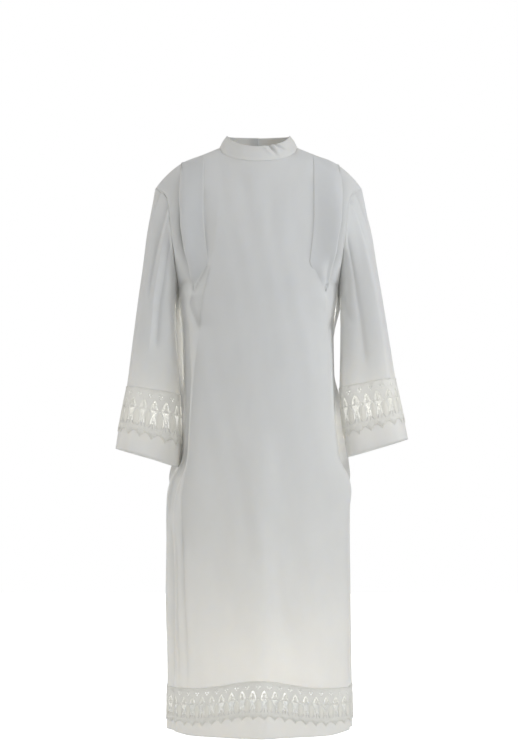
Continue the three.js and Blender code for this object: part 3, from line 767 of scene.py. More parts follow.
def makePleat(name, side):
    s, grid = pleatSettings, grids["front"]
    columns = np.arange(grid.shape[1])

    def edgePlaces(line):
        lineX, lineZ = np.array(line + [s[name]["tip"]], float).T
        away = grid[..., 0] - np.interp(-grid[..., 2], -lineZ, lineX)
        return np.array([np.interp(0, row, columns) for row in away])

    tipX, tip = s[name]["tip"]
    middle = np.abs(grid[:, :, 0] - tipX).argmin(axis=1)
    heights = grid[np.arange(len(grid)), middle, 2]
    rows = np.flatnonzero(heights > tip + 2)
    inner, outer = (edgePlaces(s[name][edge])[rows] for edge in ("inner", "outer"))
    ends = sampled(grid, rows, np.stack([inner, outer], axis=1))
    width = np.linalg.norm(ends[:, 1] - ends[:, 0], axis=1)
    below = smooth(heights[rows] - tip, 5, 120) * smooth(-heights[rows], 30, 130)
    roll = s["roll"] * (0.3 + 0.7 * below)
    radius = np.minimum((s["edgeLift"] + roll - s["hover"]) / 2, 0.3 * width)
    # both ends lie down on the panel
    ended = smooth(heights.max() - heights[rows], 0, 34) * smooth(heights[rows] - tip, 4, 40)
    radius = radius * (0.2 + 0.8 * ended)
    out = np.array(s["across"])
    places = inner[:, None] + (outer - inner)[:, None] * out * (1 - radius / width)[:, None]
    strip = sampled(grid, rows, places)
    normals = unit(sampled(gridNormals(grid), rows, places))
    letGo = smooth(s["stitchedTo"] - heights[rows], 0, 22)[:, None] * (1 - smooth(out, 0, 0.3))
    rise = (2 * radius + s["hover"] - s["edgeLift"])[:, None] * smooth(out, 0.1, 0.96)
    lift = (s["edgeLift"] * (1 - 1.25 * letGo) + rise) * (1.4 * ended - 0.4)[:, None]
    flat = strip + normals * lift[..., None]
    # round the fold's edge, and a little way back under it
    base, up = strip[:, -1:], normals[:, -1:]
    outward = unit(np.cross(np.cross(up, strip[:, -1:] - strip[:, -2:-1]), up))
    turn = np.linspace(0, math.pi, 8)[None, 1:, None]
    size = radius[:, None, None]
    bend = base + outward * size * np.sin(turn) + up * (s["hover"] + size + size * np.cos(turn))
    tail = base - outward * np.minimum(s["tail"], 0.4 * width)[:, None, None] + up * s["hover"]
    grown = np.concatenate([flat, bend, tail], axis=1)
    if side < 0:
        grown = grown[:, ::-1]
    label, rests = f"{name}Pleat", ["frontPanel"]
    piece = clothSheet(label, grown, clothMat, replaced=[f"{name}_pleat"], thickness=s["thickness"])
    sewn = heights[rows] > s["stitchedTo"]
    stitches = makeStitches(f"{label}Stitches", [(flat[sewn, 2], normals[sewn, 2])])


print("pleats")
makePleat("right", -1)
makePleat("left", 1)

# ---- the collar
collarSettings = {
    "columns": 420,
    "rows": 24,
    "allowance": 0.07,  # the edge that covers the neckline
    "thickness": 2.2,
    "belly": 2.5,
    "lap": 0.0406,  # of one turn
    "flat": (0.60, 0.038),
    "lapLift": 2.6,
    "dents": [  # at, lean, spread, rise, and how high up they are whole
        (0.587, -0.029, 0.008, -7.5, 0.5),
        (0.603, -0.03, 0.008, 4.5, 0.65),
        (0.6615, -0.069, 0.008, -6.5, 0.75),
        (0.574, -0.05, 0.0085, 4.0, 0.3),
        (0.4, -0.01, 0.02, -0.8, 0.3),
    ],
}


def collarPoint(share, up):
    turn = -share * 2 * math.pi
    angle = np.arcsin(np.sin(turn))
    back = np.cos(turn) > 0

    def around(oval):
        return np.where(back[..., None], neckPoint(oval, "back", angle), neckPoint(oval, "front", angle))

    low, top = around(neckShape["base"]) + stacked(0, 0, 0.6), around(neckShape["top"])
    # the top edge runs round the sides of the neck without a corner
    edge = neckShape["top"]
    slope = np.where(back, edge["back"][1] - edge["side"], edge["front"][1] - edge["side"])
    across = np.abs(np.cos(angle))
    top = top + stacked(0, 0, slope * across * ((across * 1.14) / (across + 0.14) - 1))
    out = unit(low * [1, 1, 0])
    belly = collarSettings["belly"] * np.sin(math.pi * up)
    return mix(low, top, up[..., None]) + out * belly[..., None]


def makeCollar():
    s = collarSettings
    ups = np.linspace(-s["allowance"], 1, s["rows"])
    share, up = np.meshgrid(np.linspace(0, 1 + s["lap"], s["columns"]), ups)
    grid = collarPoint(share, up)
    lift = s["lapLift"] * smooth(share, 1 - 0.1, 1 - 0.012)
    for at, lean, spread, rise, top in s["dents"]:
        lift = lift + rise * hump(share - at - lean * up, spread) * smooth(up, top - 0.5, 1)
    lift = lift + 1.1 * (1 - smooth(up, 0, 0.3))
    # painted shade: the collar's colour is darkened where the band lies less far out, most in its
    # pressed-in dents
    shade = np.clip(0.035 * np.maximum(0, 1.1 - lift), 0, 0.3)
    grid = grid + unit(grid * [1, 1, 0]) * lift[..., None]
    look = {"replaced": ["collar"], "thickness": s["thickness"], "shade": shade}
    piece = clothSheet("collarBand", grid, collarMat, **look)
    return grid


print("collar")
collarGrid = makeCollar()


def collarStitchLine(up):
    allowance = collarSettings["allowance"]
    row = (up + allowance) / (1 + allowance) * (collarSettings["rows"] - 1)
    low = int(row)
    return mix(collarGrid[low], collarGrid[low + 1], row - low), gridNormals(collarGrid)[low]


makeStitches("collarStitches", [collarStitchLine(0.09), collarStitchLine(0.93)])

# ---- the back opening: a strip down from the collar, stitched round, with a button at its top
placketSettings = {"halfWidth": 0.042, "length": 122, "lift": 1.7, "flat": (0.037, 0.135)}


def makePlacket():
    s = placketSettings
    grid = grids["back"]
    middle = grid.shape[1] // 2
    rows = np.flatnonzero(grid[:, middle, 2] > grid[-1, middle, 2] - s["length"])
    halfWidth = s["halfWidth"] * grid.shape[1] / 2 * 0.76
    places = middle - 0.5 + np.linspace(-1, 1, 13)[None, :] * halfWidth + 0 * rows[:, None]
    normals = unit(sampled(gridNormals(grid), rows, places))
    strip = sampled(grid, rows, places) + normals * s["lift"]
    piece = clothSheet("backPlacket", strip, clothMat, replaced=["back_placket"], thickness=1.2)
    edge = [(strip[1:, 1], normals[1:, 1]), (strip[1:, -2], normals[1:, -2])]
    box = [(strip[row, 1:-1], normals[row, 1:-1]) for row in (1, 6)]
    stitches = makeStitches("placketStitches", edge + box)


print("placket")
makePlacket()

# ---- the sleeves
sleeveEnds = {
    "left": {"lace": (341, -565, 205, -589), "cuff": (366, -714, 217, -758)},
    "right": {"lace": (328, -585, 200, -606), "cuff": (350, -737, 203, -778)},
}
sleeveSettings = {
    "halfDepth": (57, 65),
    "forward": (-8, -14),
    "columns": 150,
    "rows": 120,
    "length": 156,  # from the lace's top to the cuff's edge
    "flat": {"left": (0.45, 0.50), "right": (0.45, 0.51)},
    "area": 0.165,
    "bandFlat": (0.47, 0.08),
}
# long folds: from which share of the length on, at which angle, rise and spread
sleeveFolds = [
    (0.1, 98, -6, 24),
    (0.02, 52, 5, 20),
    (0.2, 140, 5, 20),
    (0.15, 262, -7, 26),
    (0.1, 306, 5, 22),
]
# finer creases: angle and share of the length along their line, rise and spread
sleeveCreases = {
    "left": [
        ([(70, 0.0), (52, 0.34)], -3.5, 7),
        ([(40, 0.0), (30, 0.3)], -3.2, 7),
        ([(14, 0.16), (2, 0.27)], -5.0, 8),
        ([(66, 0.08), (56, 0.5), (50, 1.15)], 4.5, 10),
        ([(118, 0.1), (104, 0.5), (96, 0.9)], -3.5, 9),
        ([(150, 0.3), (120, 0.6)], -3.2, 8),
        ([(300, 0.0), (320, 0.4)], -3.5, 9),
        ([(250, 0.2), (280, 0.8)], -4.0, 10),
    ],
    "right": [
        ([(78, 0.0), (66, 0.5)], -4.5, 8),
        ([(100, 0.02), (84, 0.4), (80, 0.8)], 4.0, 9),
        ([(36, 0.0), (26, 0.26)], -3.5, 7),
        ([(122, 0.1), (108, 0.4), (100, 0.75)], -4.0, 9),
        ([(48, 0.2), (44, 0.6), (42, 1.15)], 3.5, 11),
        ([(300, 0.0), (322, 0.45)], -3.5, 9),
        ([(250, 0.25), (276, 0.85)], -4.0, 10),
    ],
}


def degreesFrom(angle, at):
    return np.abs((np.degrees(angle) - at + 540) % 360 - 180)


def sleeveOval(ends, halfDepth, forward, side, angle, down):
    outerX, outerZ, innerX, innerZ = ends
    outer = stacked(side * outerX, forward, outerZ)
    inner = stacked(side * innerX, forward, innerZ)
    reach = (outer - inner) / 2
    square = (reach**2).sum(axis=-1)
    turned = np.cos(angle)
    across, up = (reach[..., axis] * turned / square for axis in (0, 2))
    out = unit(stacked(across, -np.sin(angle) / halfDepth, up))
    push = 0
    for top, at, rise, spread in sleeveFolds:
        push = push + rise * smooth(down, top, top + 0.35) * hump(degreesFrom(angle, at), spread)
    middle = (outer + inner) / 2
    depth = stacked(0, -halfDepth * np.sin(angle), 0)
    return middle + reach * turned[..., None] + depth + out * push[..., None]


def armholeLoop(side, angle):
    # round the armhole from the shoulder point, down the front, and up the back
    share = (angle / (2 * math.pi)) % 1
    onFront = share <= 0.5
    up = np.sin(np.abs(1 - 2 * share) * math.pi / 2)
    front, back = (armholePoint(face, side, up) for face in ("front", "back"))
    return np.where(onFront[..., None], front, back)


def sleevePoint(name, side, angle, down):
    laceEnds = sleeveEnds[name]["lace"]
    outerShare = 1 - (1 - down) ** 1.3
    innerShare = down**1.45
    underarm = sectionAt(bodyShape["underarm"], "halfWidth")
    ends = (
        mix(shoulder["x"], laceEnds[0], outerShare) + 4 * np.sin(math.pi * outerShare),
        mix(shoulder["z"], laceEnds[1], outerShare),
        mix(underarm, laceEnds[2], innerShare) + 8 * np.sin(math.pi * innerShare**0.5),
        mix(bodyShape["underarm"], laceEnds[3], innerShare),
    )
    halfDepth = mix(armhole["front"], sleeveSettings["halfDepth"][0], down)
    oval = sleeveOval(ends, halfDepth, sleeveSettings["forward"][0] * down, side, angle, down)
    return mix(armholeLoop(side, angle), oval, smooth(down, 0, 0.4)[..., None])


def cuffPoint(name, side, angle, down):
    depths, forward = sleeveSettings["halfDepth"], sleeveSettings["forward"]
    top = sleeveOval(sleeveEnds[name]["lace"], depths[0], forward[0], side, angle, 1)
    edge = sleeveOval(sleeveEnds[name]["cuff"], depths[1], forward[1], side, angle, 1)
    return mix(top, edge, down[..., None])


def sleeveCreasePush(name, angle, down):
    total = 0 * down
    for line, rise, spread in sleeveCreases[name]:
        angles, downs = np.array(line, float).T
        away = degreesFrom(angle, np.interp(down, downs, angles))
        grown = smooth(down, downs[0], downs[0] + 0.06) * (1 - smooth(down, downs[-1] - 0.12, downs[-1]))
        total = total + rise * grown * hump(away, spread, 1.4)
    return total


def roundAngles(count, side):
    return np.linspace(0, 2 * math.pi, count, endpoint=False)[::side]


def makeSleeve(name, side):
    s = sleeveSettings
    angles = roundAngles(s["columns"], side)
    down = np.linspace(0, 1, s["rows"]) ** 1.15
    angle, down = np.meshgrid(angles, down)
    grid = sleevePoint(name, side, angle, down)
    below = cuffPoint(name, side, angles[None, :], np.full((1, s["columns"]), 6 / s["length"]))
    grid = np.concatenate([grid, below])
    push = np.concatenate([sleeveCreasePush(name, angle, down), np.zeros((1, s["columns"]))])
    slow = ripples(np.degrees(grid[..., 1]) / 40, grid[..., 2], 21 + side, 0.4)
    push = push + slow * smooth(np.arange(s["rows"] + 1), 0, 20)[:, None]
    # painted shade: the sleeve's colour is darkened in the valleys of its creases and ripples
    shade = np.clip(0.03 * np.maximum(0, -push), 0, 0.3)
    push = push + seamDip(grid, sides=("low",), depth=1.4)
    grid = pushed(grid, push, around=True)
    grid[0] += np.array([side * 0.4, 0, -0.2])
    grid = sleeveHang(grid)
    look = {"replaced": [f"{name}_sleeve"], "around": True, "shade": shade}
    piece = clothSheet(f"{name}Sleeve", grid, clothMat, **look)


def makeCuffBand(name, side):
    start = laceShares["clothStart"] * laceShares["cuff"]
    angle, down = np.meshgrid(roundAngles(160, side), np.linspace(start, 1, 12))
    grid = sleeveHang(cuffPoint(name, side, angle, down))
    thickness = laceSettings["bandThickness"]
    look = {"replaced": [f"{name}_cuff_band"], "around": True, "thickness": thickness}
    piece = clothSheet(f"{name}CuffBand", grid, bandMat, **look)


# ---- embroidered lace. One repeat is drawn flat: c across from its middle, h down from its top
laceShares = {"cuff": 0.735, "clothStart": 0.7}
laceSettings = {
    "pitch": 28.0,
    "height": 116.0,
    "wall": 0.8,
    "lift": 0.7,
    "cordRadius": 0.75,
    "cordHeight": 0.8,  # of its radius
    "netRadius": 0.32,
    "hemRepeats": 24,
    "cuffRepeats": 8,
    "hemFlat": {"front": (0.70, 0.094), "back": (0.74, 0.094)},
    "cuffFlat": (0.24, 0.116),
    "bandFlat": {"front": (0.70, 0.077), "back": (0.72, 0.05)},
    "bandArea": {"front": 0.04, "back": 0.036},
    "bandThickness": 1.6,
}


def arch(top, foot, halfWidth, power, steps):
    # a pointed arch from its left foot over its top to its right foot
    share = np.linspace(1, 0, steps) ** 1.4
    left = [(-halfWidth * s**power, top + (foot - top) * s) for s in share]
    return left + [(-c, h) for c, h in reversed(left[:-1])]


def blob(c, h, halfWidth, halfHeight, steps=10):
    turns = np.arange(steps) / steps * 2 * math.pi
    return [(c + halfWidth * math.sin(t), h - halfHeight * math.cos(t)) for t in turns]


def slit(line, halfWidth):
    # a long narrow hole with pointed ends along a line
    line = np.array(line, float)
    shares = np.linspace(0, 1, len(line))
    wide = halfWidth * np.sin(np.clip(shares, 0.04, 0.96) * math.pi) ** 0.45
    ahead = unit(np.gradient(line, axis=0))
    aside = np.stack([ahead[:, 1], -ahead[:, 0]], axis=1) * wide[:, None]
    return [tuple(p) for p in line + aside] + [tuple(p) for p in (line - aside)[::-1]]


def curve(points, steps):
    # a smooth line through a few points
    points = np.array(points, float)
    lengths = alongLine(points)
    slopes = np.gradient(points, lengths, axis=0)
    out = []
    for place in np.linspace(0, lengths[-1], steps):
        i = min(np.searchsorted(lengths, place, side="right") - 1, len(points) - 2)
        span = lengths[i + 1] - lengths[i]
        t = (place - lengths[i]) / span
        p = (1 + 2 * t) * (1 - t) ** 2 * points[i] + t * (1 - t) ** 2 * span * slopes[i]
        p = p + t * t * (3 - 2 * t) * points[i + 1] + t * t * (t - 1) * span * slopes[i + 1]
        out.append(tuple(p))
    return out


def mirrored(line):
    return [(-c, h) for c, h in line]


laceDrawing = {
    "archHole": arch(26, 46.5, 8.8, 0.62, 9) + arch(31, 46.5, 6.0, 0.6, 7)[::-1],
    "netHole": [(-8.6, 49), (-3, 49), (3, 49), (8.6, 49), (6.8, 55), (4.6, 61), (2.4, 67), (0.9, 73)]
    + [(-0.9, 73), (-2.4, 67), (-4.6, 61), (-6.8, 55)],
    "stemSlit": slit([(0, 75), (0, 80), (0, 85), (0, 91)], 0.9),
    "sideSlit": slit(curve([(4.6, 65), (5.0, 73), (5.7, 81), (7.6, 87.5), (10.4, 91)], 9), 1.15),
    "leafSlit": slit([(2.4, 38), (3.1, 41), (3.3, 45)], 0.55),
    "blobs": [(10.4, 14.6, 1.7, 1.6), (14, 19.8, 1.7, 1.8), (14, 50.5, 1.3, 1.5)],  # on both sides
    "edge": [(-14, 103), (-11, 102.6), (-8.8, 104), (-8, 107.5), (-5, 108), (-3, 110.5), (-1.6, 114)]
    + [(0, 116)],
}


def laceHoles():
    d = laceDrawing
    holes = [d["archHole"], d["netHole"], d["stemSlit"]]
    holes += [d["sideSlit"], mirrored(d["sideSlit"]), d["leafSlit"], mirrored(d["leafSlit"])]
    return holes + [blob(side * c, *rest) for side in (-1, 1) for c, *rest in d["blobs"]]


def insideLoop(point, loop):
    c, h = point
    odd = False
    for (c1, h1), (c2, h2) in zip(loop, loop[1:] + loop[:1]):
        if (h1 > h) != (h2 > h) and c < (c2 - c1) * (h - h1) / (h2 - h1) + c1:
            odd = not odd
    return odd


def laceGround():
    # the flat cloth of one repeat as triangles, with its holes left out
    half = laceSettings["pitch"] / 2
    edge = laceDrawing["edge"]
    sides = [7, 14, 24, 31, 38, 45, 56, 63, 70, 77, 84, 91, 97]
    outline = [(-half, 0), (-half / 2, 0), (0, 0), (half / 2, 0), (half, 0)]
    outline += [(half, h) for h in sides] + mirrored(edge) + edge[-2::-1]
    outline += [(-half, h) for h in sides[::-1]]
    loops = [outline] + laceHoles()
    points, edges = [], []
    for loop in loops:
        base = len(points)
        points += [Vector(p) for p in loop]
        edges += [(base + i, base + (i + 1) % len(loop)) for i in range(len(loop))]
    for c in np.arange(-10.5, 11, 3.5):
        points += [Vector((c, h)) for h in np.arange(3.5, 100, 5.1)]
    points, _, triangles = delaunay_2d_cdt(points, edges, [], 0, 0.001)[:3]
    points = np.array([tuple(p) for p in points])
    kept = []
    for triangle in triangles:
        centre = points[list(triangle)].mean(axis=0)
        if insideLoop(centre, outline) and not any(insideLoop(centre, loop) for loop in loops[1:]):
            kept.append(tuple(triangle)[::-1])
    return points, kept


def laceCord(line, radius, lift, closed=False):
    # a raised thread with a square section, smooth shaded
    line = np.array(line, float)
    around = np.roll(line, -1, axis=0) - np.roll(line, 1, axis=0)
    ahead = unit(around if closed else np.gradient(line, axis=0))
    aside = np.stack([ahead[:, 1], -ahead[:, 0]], axis=1)
    size = len(line)
    points = np.zeros((size, 4, 3))
    for k, (w, up) in enumerate([(1, 0), (0, 1), (-1, 0), (0, -1)]):
        points[:, k, :2] = line + aside * radius * w
        points[:, k, 2] = lift + up * radius * laceSettings["cordHeight"]
    faces = []
    for i in range(size if closed else size - 1):
        j = (i + 1) % size
        faces += [(4 * i + k, 4 * i + (k + 1) % 4, 4 * j + (k + 1) % 4, 4 * j + k) for k in range(4)]
    if not closed:
        last = 4 * (size - 1)
        faces += [(3, 2, 1, 0), (last, last + 1, last + 2, last + 3)]
    return points.reshape(-1, 3), faces


def laceDome(centre, top, bottom, halfWidth, ribs, lift, rise, size=9):
    # a satin-stitched leaf: a low dome with ribs down it, pointed at its top
    points, faces = [], []
    for r in range(size):
        t = r / (size - 1)
        wide = halfWidth * (math.sin(math.pi * min(1, 0.04 + 0.96 * t) ** 1.25) ** 0.7 + 0.02)
        for c in range(size):
            w = 2 * c / (size - 1) - 1
            bulge = rise * (1 - w * w) * math.sin(math.pi * t) ** 0.5
            rib = 0.25 * rise * math.cos(ribs * math.pi * w) * math.sin(math.pi * t)
            points.append((centre + w * wide, top + (bottom - top) * t, lift + max(0.02, bulge + rib)))
    count = len(points)
    points += [(c, h, lift - 0.1) for c, h, _ in points]
    for a in (r * size + c for r in range(size - 1) for c in range(size - 1)):
        quad = (a, a + size, a + size + 1, a + 1)
        faces += [quad, tuple(i + count for i in quad[::-1])]
    last = count - 1
    ring = [*range(size), *range(2 * size - 1, last, size), *range(last, last - size, -1)]
    ring += range(last - 2 * size + 1, 0, -size)
    faces += [(i, j, j + count, i + count) for i, j in zip(ring, ring[1:] + ring[:1])]
    return np.array(points), faces


def netThreads():
    # the fine net that fills the large hole, as crossing threads from edge to edge
    hole = laceDrawing["netHole"]
    parts, slope = [], 0.62
    for lean in (-slope, slope):
        for start in np.arange(-26, 27, 3.4):
            line = [(start + lean * (h - 49), h) for h in np.linspace(49.1, 74, 60)]
            inside = [p for p in line if insideLoop(p, hole)]
            if len(inside) > 3:
                parts.append(laceCord([inside[0], inside[-1]], laceSettings["netRadius"], 0.4))
    return parts


def laceRepeat():
    # all raised parts of one repeat: points and faces
    top = laceSettings["wall"]

    def cord(line, thick=1, closed=False):
        return laceCord(line, laceSettings["cordRadius"] * thick, top, closed)

    petal = curve([(14, 51.5), (9.2, 60), (7.4, 72), (8.6, 82), (11.4, 87.5), (14, 88.8)], 13)
    petal = petal + [(28 - c, h) for c, h in petal[-2:0:-1]]
    loop = curve([(6.6, 92), (8.6, 97.5), (14, 101.2), (19.4, 97.5), (21.4, 92)], 13)
    crown = curve([(7.2, 53), (10, 47), (14, 44.4), (18, 47), (20.8, 53)], 9)
    zigzag = [(c, 0.9 if k % 2 else 3.6) for k, c in enumerate(np.linspace(-14, 14, 17))]
    innerEdge = [(c, h - 1.5) for c, h in laceDrawing["edge"]]
    parts = [
        cord(arch(24.6, 47.6, 9.9, 0.62, 9)),
        cord(arch(31.6, 46.8, 5.5, 0.6, 6), 0.7),
        cord([(-8.6, 47.8), (0, 47.8), (8.6, 47.8)], 0.6),
        cord([(0, 33), (0, 46)], 0.5),
        cord(petal, closed=True),
        cord(loop),
        cord(curve([(9.6, 92), (11.4, 95.2), (14, 96.8), (16.6, 95.2), (18.4, 92)], 9), 0.7),
        cord(crown, 0.7),
        cord(innerEdge + mirrored(innerEdge)[-2::-1]),
        cord([(-14, 5.4), (0, 5.4), (14, 5.4)], 0.8),
        cord([(-14, 9), (0, 9), (14, 9)], 0.6),
        cord(zigzag, 0.55),
        cord(curve([(-14, 23.4), (-7, 21), (0, 20.2), (7, 21), (14, 23.4)], 9), 0.5),
        cord([(-2.4, 92), (0, 97), (2.4, 92)], 0.7),
        laceDome(14, 50.5, 88, 5.2, 3, top, 0.75),
        laceDome(0, 34.5, 46, 1.8, 1, top, 0.5),
    ]
    for side in (-1, 1):
        for h in (30.5, 35.5, 41):
            outer = 8.8 * ((h - 26) / 20.5) ** 0.62
            parts.append(laceCord([(side * (outer - 3), h + 1.2), (side * outer, h)], 0.35, 0.4))
        for h in (72, 78, 84):
            middle = 5.3 + (h - 72) * 0.11
            parts.append(laceCord([(side * (middle - 1.3), h), (side * (middle + 1.3), h)], 0.3, 0.4))
    parts += netThreads()
    points, faces, base = [], [], 0
    for partPoints, partFaces in parts:
        points.append(partPoints)
        faces += [tuple(i + base for i in face) for face in partFaces]
        base += len(partPoints)
    return np.concatenate(points), faces


print("lace pattern")
groundRepeat = laceGround()
raisedRepeat = laceRepeat()


def laceBandFlat(repeats):
    # the flat band: its ground joined up and given a wall, and the raised parts of every repeat
    pitch, wall = laceSettings["pitch"], laceSettings["wall"]
    points, triangles = groundRepeat
    shifted = [points + [pitch * (k + 0.5), 0] for k in range(repeats)]
    allFaces = np.concatenate([np.array(triangles) + k * len(points) for k in range(repeats)])
    keys, first, merged = np.unique(
        np.round(np.concatenate(shifted) * 20).astype(int), axis=0, return_index=True, return_inverse=True
    )
    flat = np.concatenate(shifted)[first]
    faces = merged.reshape(-1)[allFaces]
    count = len(flat)
    sheet = [np.column_stack([flat, np.full(count, wall)]), np.column_stack([flat, np.zeros(count)])]
    edges = {(int(f[i]), int(f[(i + 1) % 3])) for f in faces for i in range(3)}
    rims = [(b, a, a + count, b + count) for a, b in edges if (b, a) not in edges]
    out = [tuple(f) for f in faces] + [tuple(f[::-1] + count) for f in faces] + rims
    raised, raisedFaces = raisedRepeat
    base = 2 * count
    for k in range(repeats):
        sheet.append(raised + [pitch * (k + 0.5), 0, 0])
        out += [tuple(i + base for i in face) for face in raisedFaces]
        base += len(raised)
    allPoints = np.concatenate(sheet)
    cords = np.concatenate([np.zeros(2 * count), np.ones(len(allPoints) - 2 * count)])
    return allPoints, out, cords


def laceBand(name, replaced, place, repeats):
    points, faces, cords = laceBandFlat(repeats)
    s, h, lift = points.T

    def at(moveS, moveH):
        return place(s + moveS, h + moveH)

    normals = unit(np.cross(at(0.5, 0) - at(-0.5, 0), at(0, -0.5) - at(0, 0.5)))
    mapped = place(s, h) + normals * (lift + laceSettings["lift"])[:, None]
    corners = np.concatenate([points[list(face), :2] for face in faces])
    piece = meshPiece(name, mapped, faces, corners, {"cord": cords})
    finishPiece(piece, laceMat, replaced)


def makeHem(face):
    s = laceSettings
    total, turn = s["hemRepeats"] * s["pitch"], -towards(face)

    def place(along, h):
        u = turn * (2 * along / total - 1)
        return bodyHang(skirtPoint(face, u, laceTopAt(face, u) - h / s["height"] * hemLace["height"]))

    lace, rests = f"{face}HemLace", [f"{face}Panel"]
    laceBand(lace, [f"hem_lace_{face}"], place, s["hemRepeats"])
    across = turn * np.linspace(-1, 1, 220)
    top = laceTopAt(face, across) - laceShares["clothStart"] * hemLace["height"]
    level = mix(float(bodyShape["hem"]), top[None, :], np.linspace(0, 1, 12)[:, None])
    grid = skirtPoint(face, np.broadcast_to(across, level.shape), level)
    grid = bodyHang(pushed(grid, seamDip(grid, sides=("left", "right"), depth=0.8)))
    look = {"replaced": [f"hem_band_{face}"], "thickness": s["bandThickness"]}
    piece = clothSheet(f"{face}HemBand", grid, bandMat, **look)


def makeCuffLace(name, side):
    s = laceSettings
    steps = 2 * s["cuffRepeats"]
    for half, first in (("front", 0), ("back", steps)):

        def place(along, h):
            column = along / s["pitch"] * 2
            turn = steps - column if side > 0 else column
            angle = (first + turn) / (2 * steps) * 2 * math.pi
            return sleeveHang(cuffPoint(name, side, angle, h / s["height"] * laceShares["cuff"]))

        node = f"{name}_cuff_lace_{half}"
        label = f"{name}CuffLace{half.capitalize()}"
        laceBand(label, [node], place, s["cuffRepeats"])


print("hem")
makeHem("front")
makeHem("back")
for name, side in (("right", -1), ("left", 1)):
    print(name, "sleeve")
    makeSleeve(name, side)
    makeCuffBand(name, side)
    makeCuffLace(name, side)

# ---- the collar's button, with four holes and its thread
buttonSettings = {
    "radius": 5.8,
    "height": 2.2,
    "rim": 1.3,
    "dish": (0.5, 0.7),  # how far in, and how deep
    "bevel": 0.45,
    "hole": {"out": 1.6, "radius": 0.6},
    "turn": 0.35 / 32,  # of one turn round the collar
    "mottle": 260,
    "colours": [(0, (0.74, 0.72, 0.68)), (1, (0.86, 0.85, 0.82))],
}


def makeButtonMaterial():
    material, tree, shader = newMaterial("pearlButton")
    where = tree.nodes.new("ShaderNodeTexCoord").outputs["Object"]
    noise = addNode(tree, "TexNoise", {"Scale": buttonSettings["mottle"]}, {"Vector": where})
    colour = rampNode(tree, noise.outputs["Fac"], buttonSettings["colours"])
    tree.links.new(colour, shader.inputs["Base Color"])
    setInputs(shader, {"Roughness": 0.25, "Coat Weight": 0.4})
    return material


def selectOnly(piece=None):
    bpy.ops.object.select_all(action="DESELECT")
    if piece:
        piece.select_set(True)
        bpy.context.view_layer.objects.active = piece


def addCylinder(vertices, radius, depth, at=(0, 0, 0)):
    measures = {"radius": radius * millimetre, "depth": depth * millimetre, "location": at}
    bpy.ops.mesh.primitive_cylinder_add(vertices=vertices, **measures)
    return bpy.context.object


def makeButton():
    s = buttonSettings
    low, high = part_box("collar_button")
    turn, up = s["turn"], np.array([0.5])
    along = collarPoint(np.array([turn + 0.01]), up) - collarPoint(np.array([turn - 0.01]), up)
    rise = collarPoint(np.array([turn]), up + 0.4) - collarPoint(np.array([turn]), up - 0.4)
    out = unit(np.cross(along, rise))[0]
    out = Vector(out if out[1] > 0 else -out)
    selectOnly()
    button = addCylinder(40, s["radius"], s["height"])
    button.name = "collarButtonDisc"
    bpy.ops.object.mode_set(mode="EDIT")
    bpy.ops.mesh.select_all(action="DESELECT")
    bpy.ops.object.mode_set(mode="OBJECT")
    for face in button.data.polygons:
        face.select = face.normal.z > 0.9
    bpy.ops.object.mode_set(mode="EDIT")
    bpy.ops.mesh.inset(thickness=s["rim"] * millimetre)
    bpy.ops.mesh.inset(thickness=s["dish"][0] * millimetre, depth=-s["dish"][1] * millimetre)
    bpy.ops.object.mode_set(mode="OBJECT")
    bevel = button.modifiers.new("rim", "BEVEL")
    bevel.width, bevel.segments, bevel.limit_method = s["bevel"] * millimetre, 3, "ANGLE"
    bpy.ops.object.modifier_apply(modifier="rim")
    for k in range(4):
        angle, away = math.pi / 4 + k * math.pi / 2, s["hole"]["out"]
        place = (away * math.cos(angle) * millimetre, away * math.sin(angle) * millimetre, 0)
        drill = addCylinder(12, s["hole"]["radius"], 8, place)
        cut = button.modifiers.new("hole", "BOOLEAN")
        cut.operation, cut.object, cut.solver = "DIFFERENCE", drill, "EXACT"
        bpy.context.view_layer.objects.active = button
        bpy.ops.object.modifier_apply(modifier="hole")
        bpy.data.objects.remove(drill)
    centre = (Vector(low) + Vector(high)) / 2
    turnOut = out.to_track_quat("Z", "Y").to_matrix().to_4x4()
    button.data.transform(Matrix.Translation(centre) @ turnOut)
    button.data.materials.append(makeButtonMaterial())
    button.data.shade_smooth()
    selectOnly(button)
    bpy.ops.object.shade_smooth_by_angle(angle=math.radians(40))
    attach(button, root)
    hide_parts("collar_button")
    # its thread crosses from hole to hole
    middle, outward = np.array(centre) / millimetre, np.array(out)
    aside, upward = (np.array(turnOut.to_3x3() @ Vector(axis)) for axis in ((1, 0, 0), (0, 1, 0)))
    lines = []
    for a, b in (((1, 1), (-1, -1)), ((1, -1), (-1, 1))):
        reach = s["hole"]["out"]
        ends = [middle + (aside * p + upward * q) * reach * 0.71 + outward * 0.75 for p, q in (a, b)]
        line = np.array([mix(ends[0], ends[1], t) for t in np.linspace(0, 1, 5)])
        lines.append((line, np.repeat(outward[None, :], 5, axis=0)))
    makeStitches("buttonThread", lines, sunk=-0.2)


print("button")
makeButton()

# ---- camera, floor and light
cameraSettings = {"at": (1.2, -3400, -917), "tilt": 1.5, "lens": 66.4, "shift": 0.143}
worldLight = {"seen": 1.0, "lighting": 0.35}
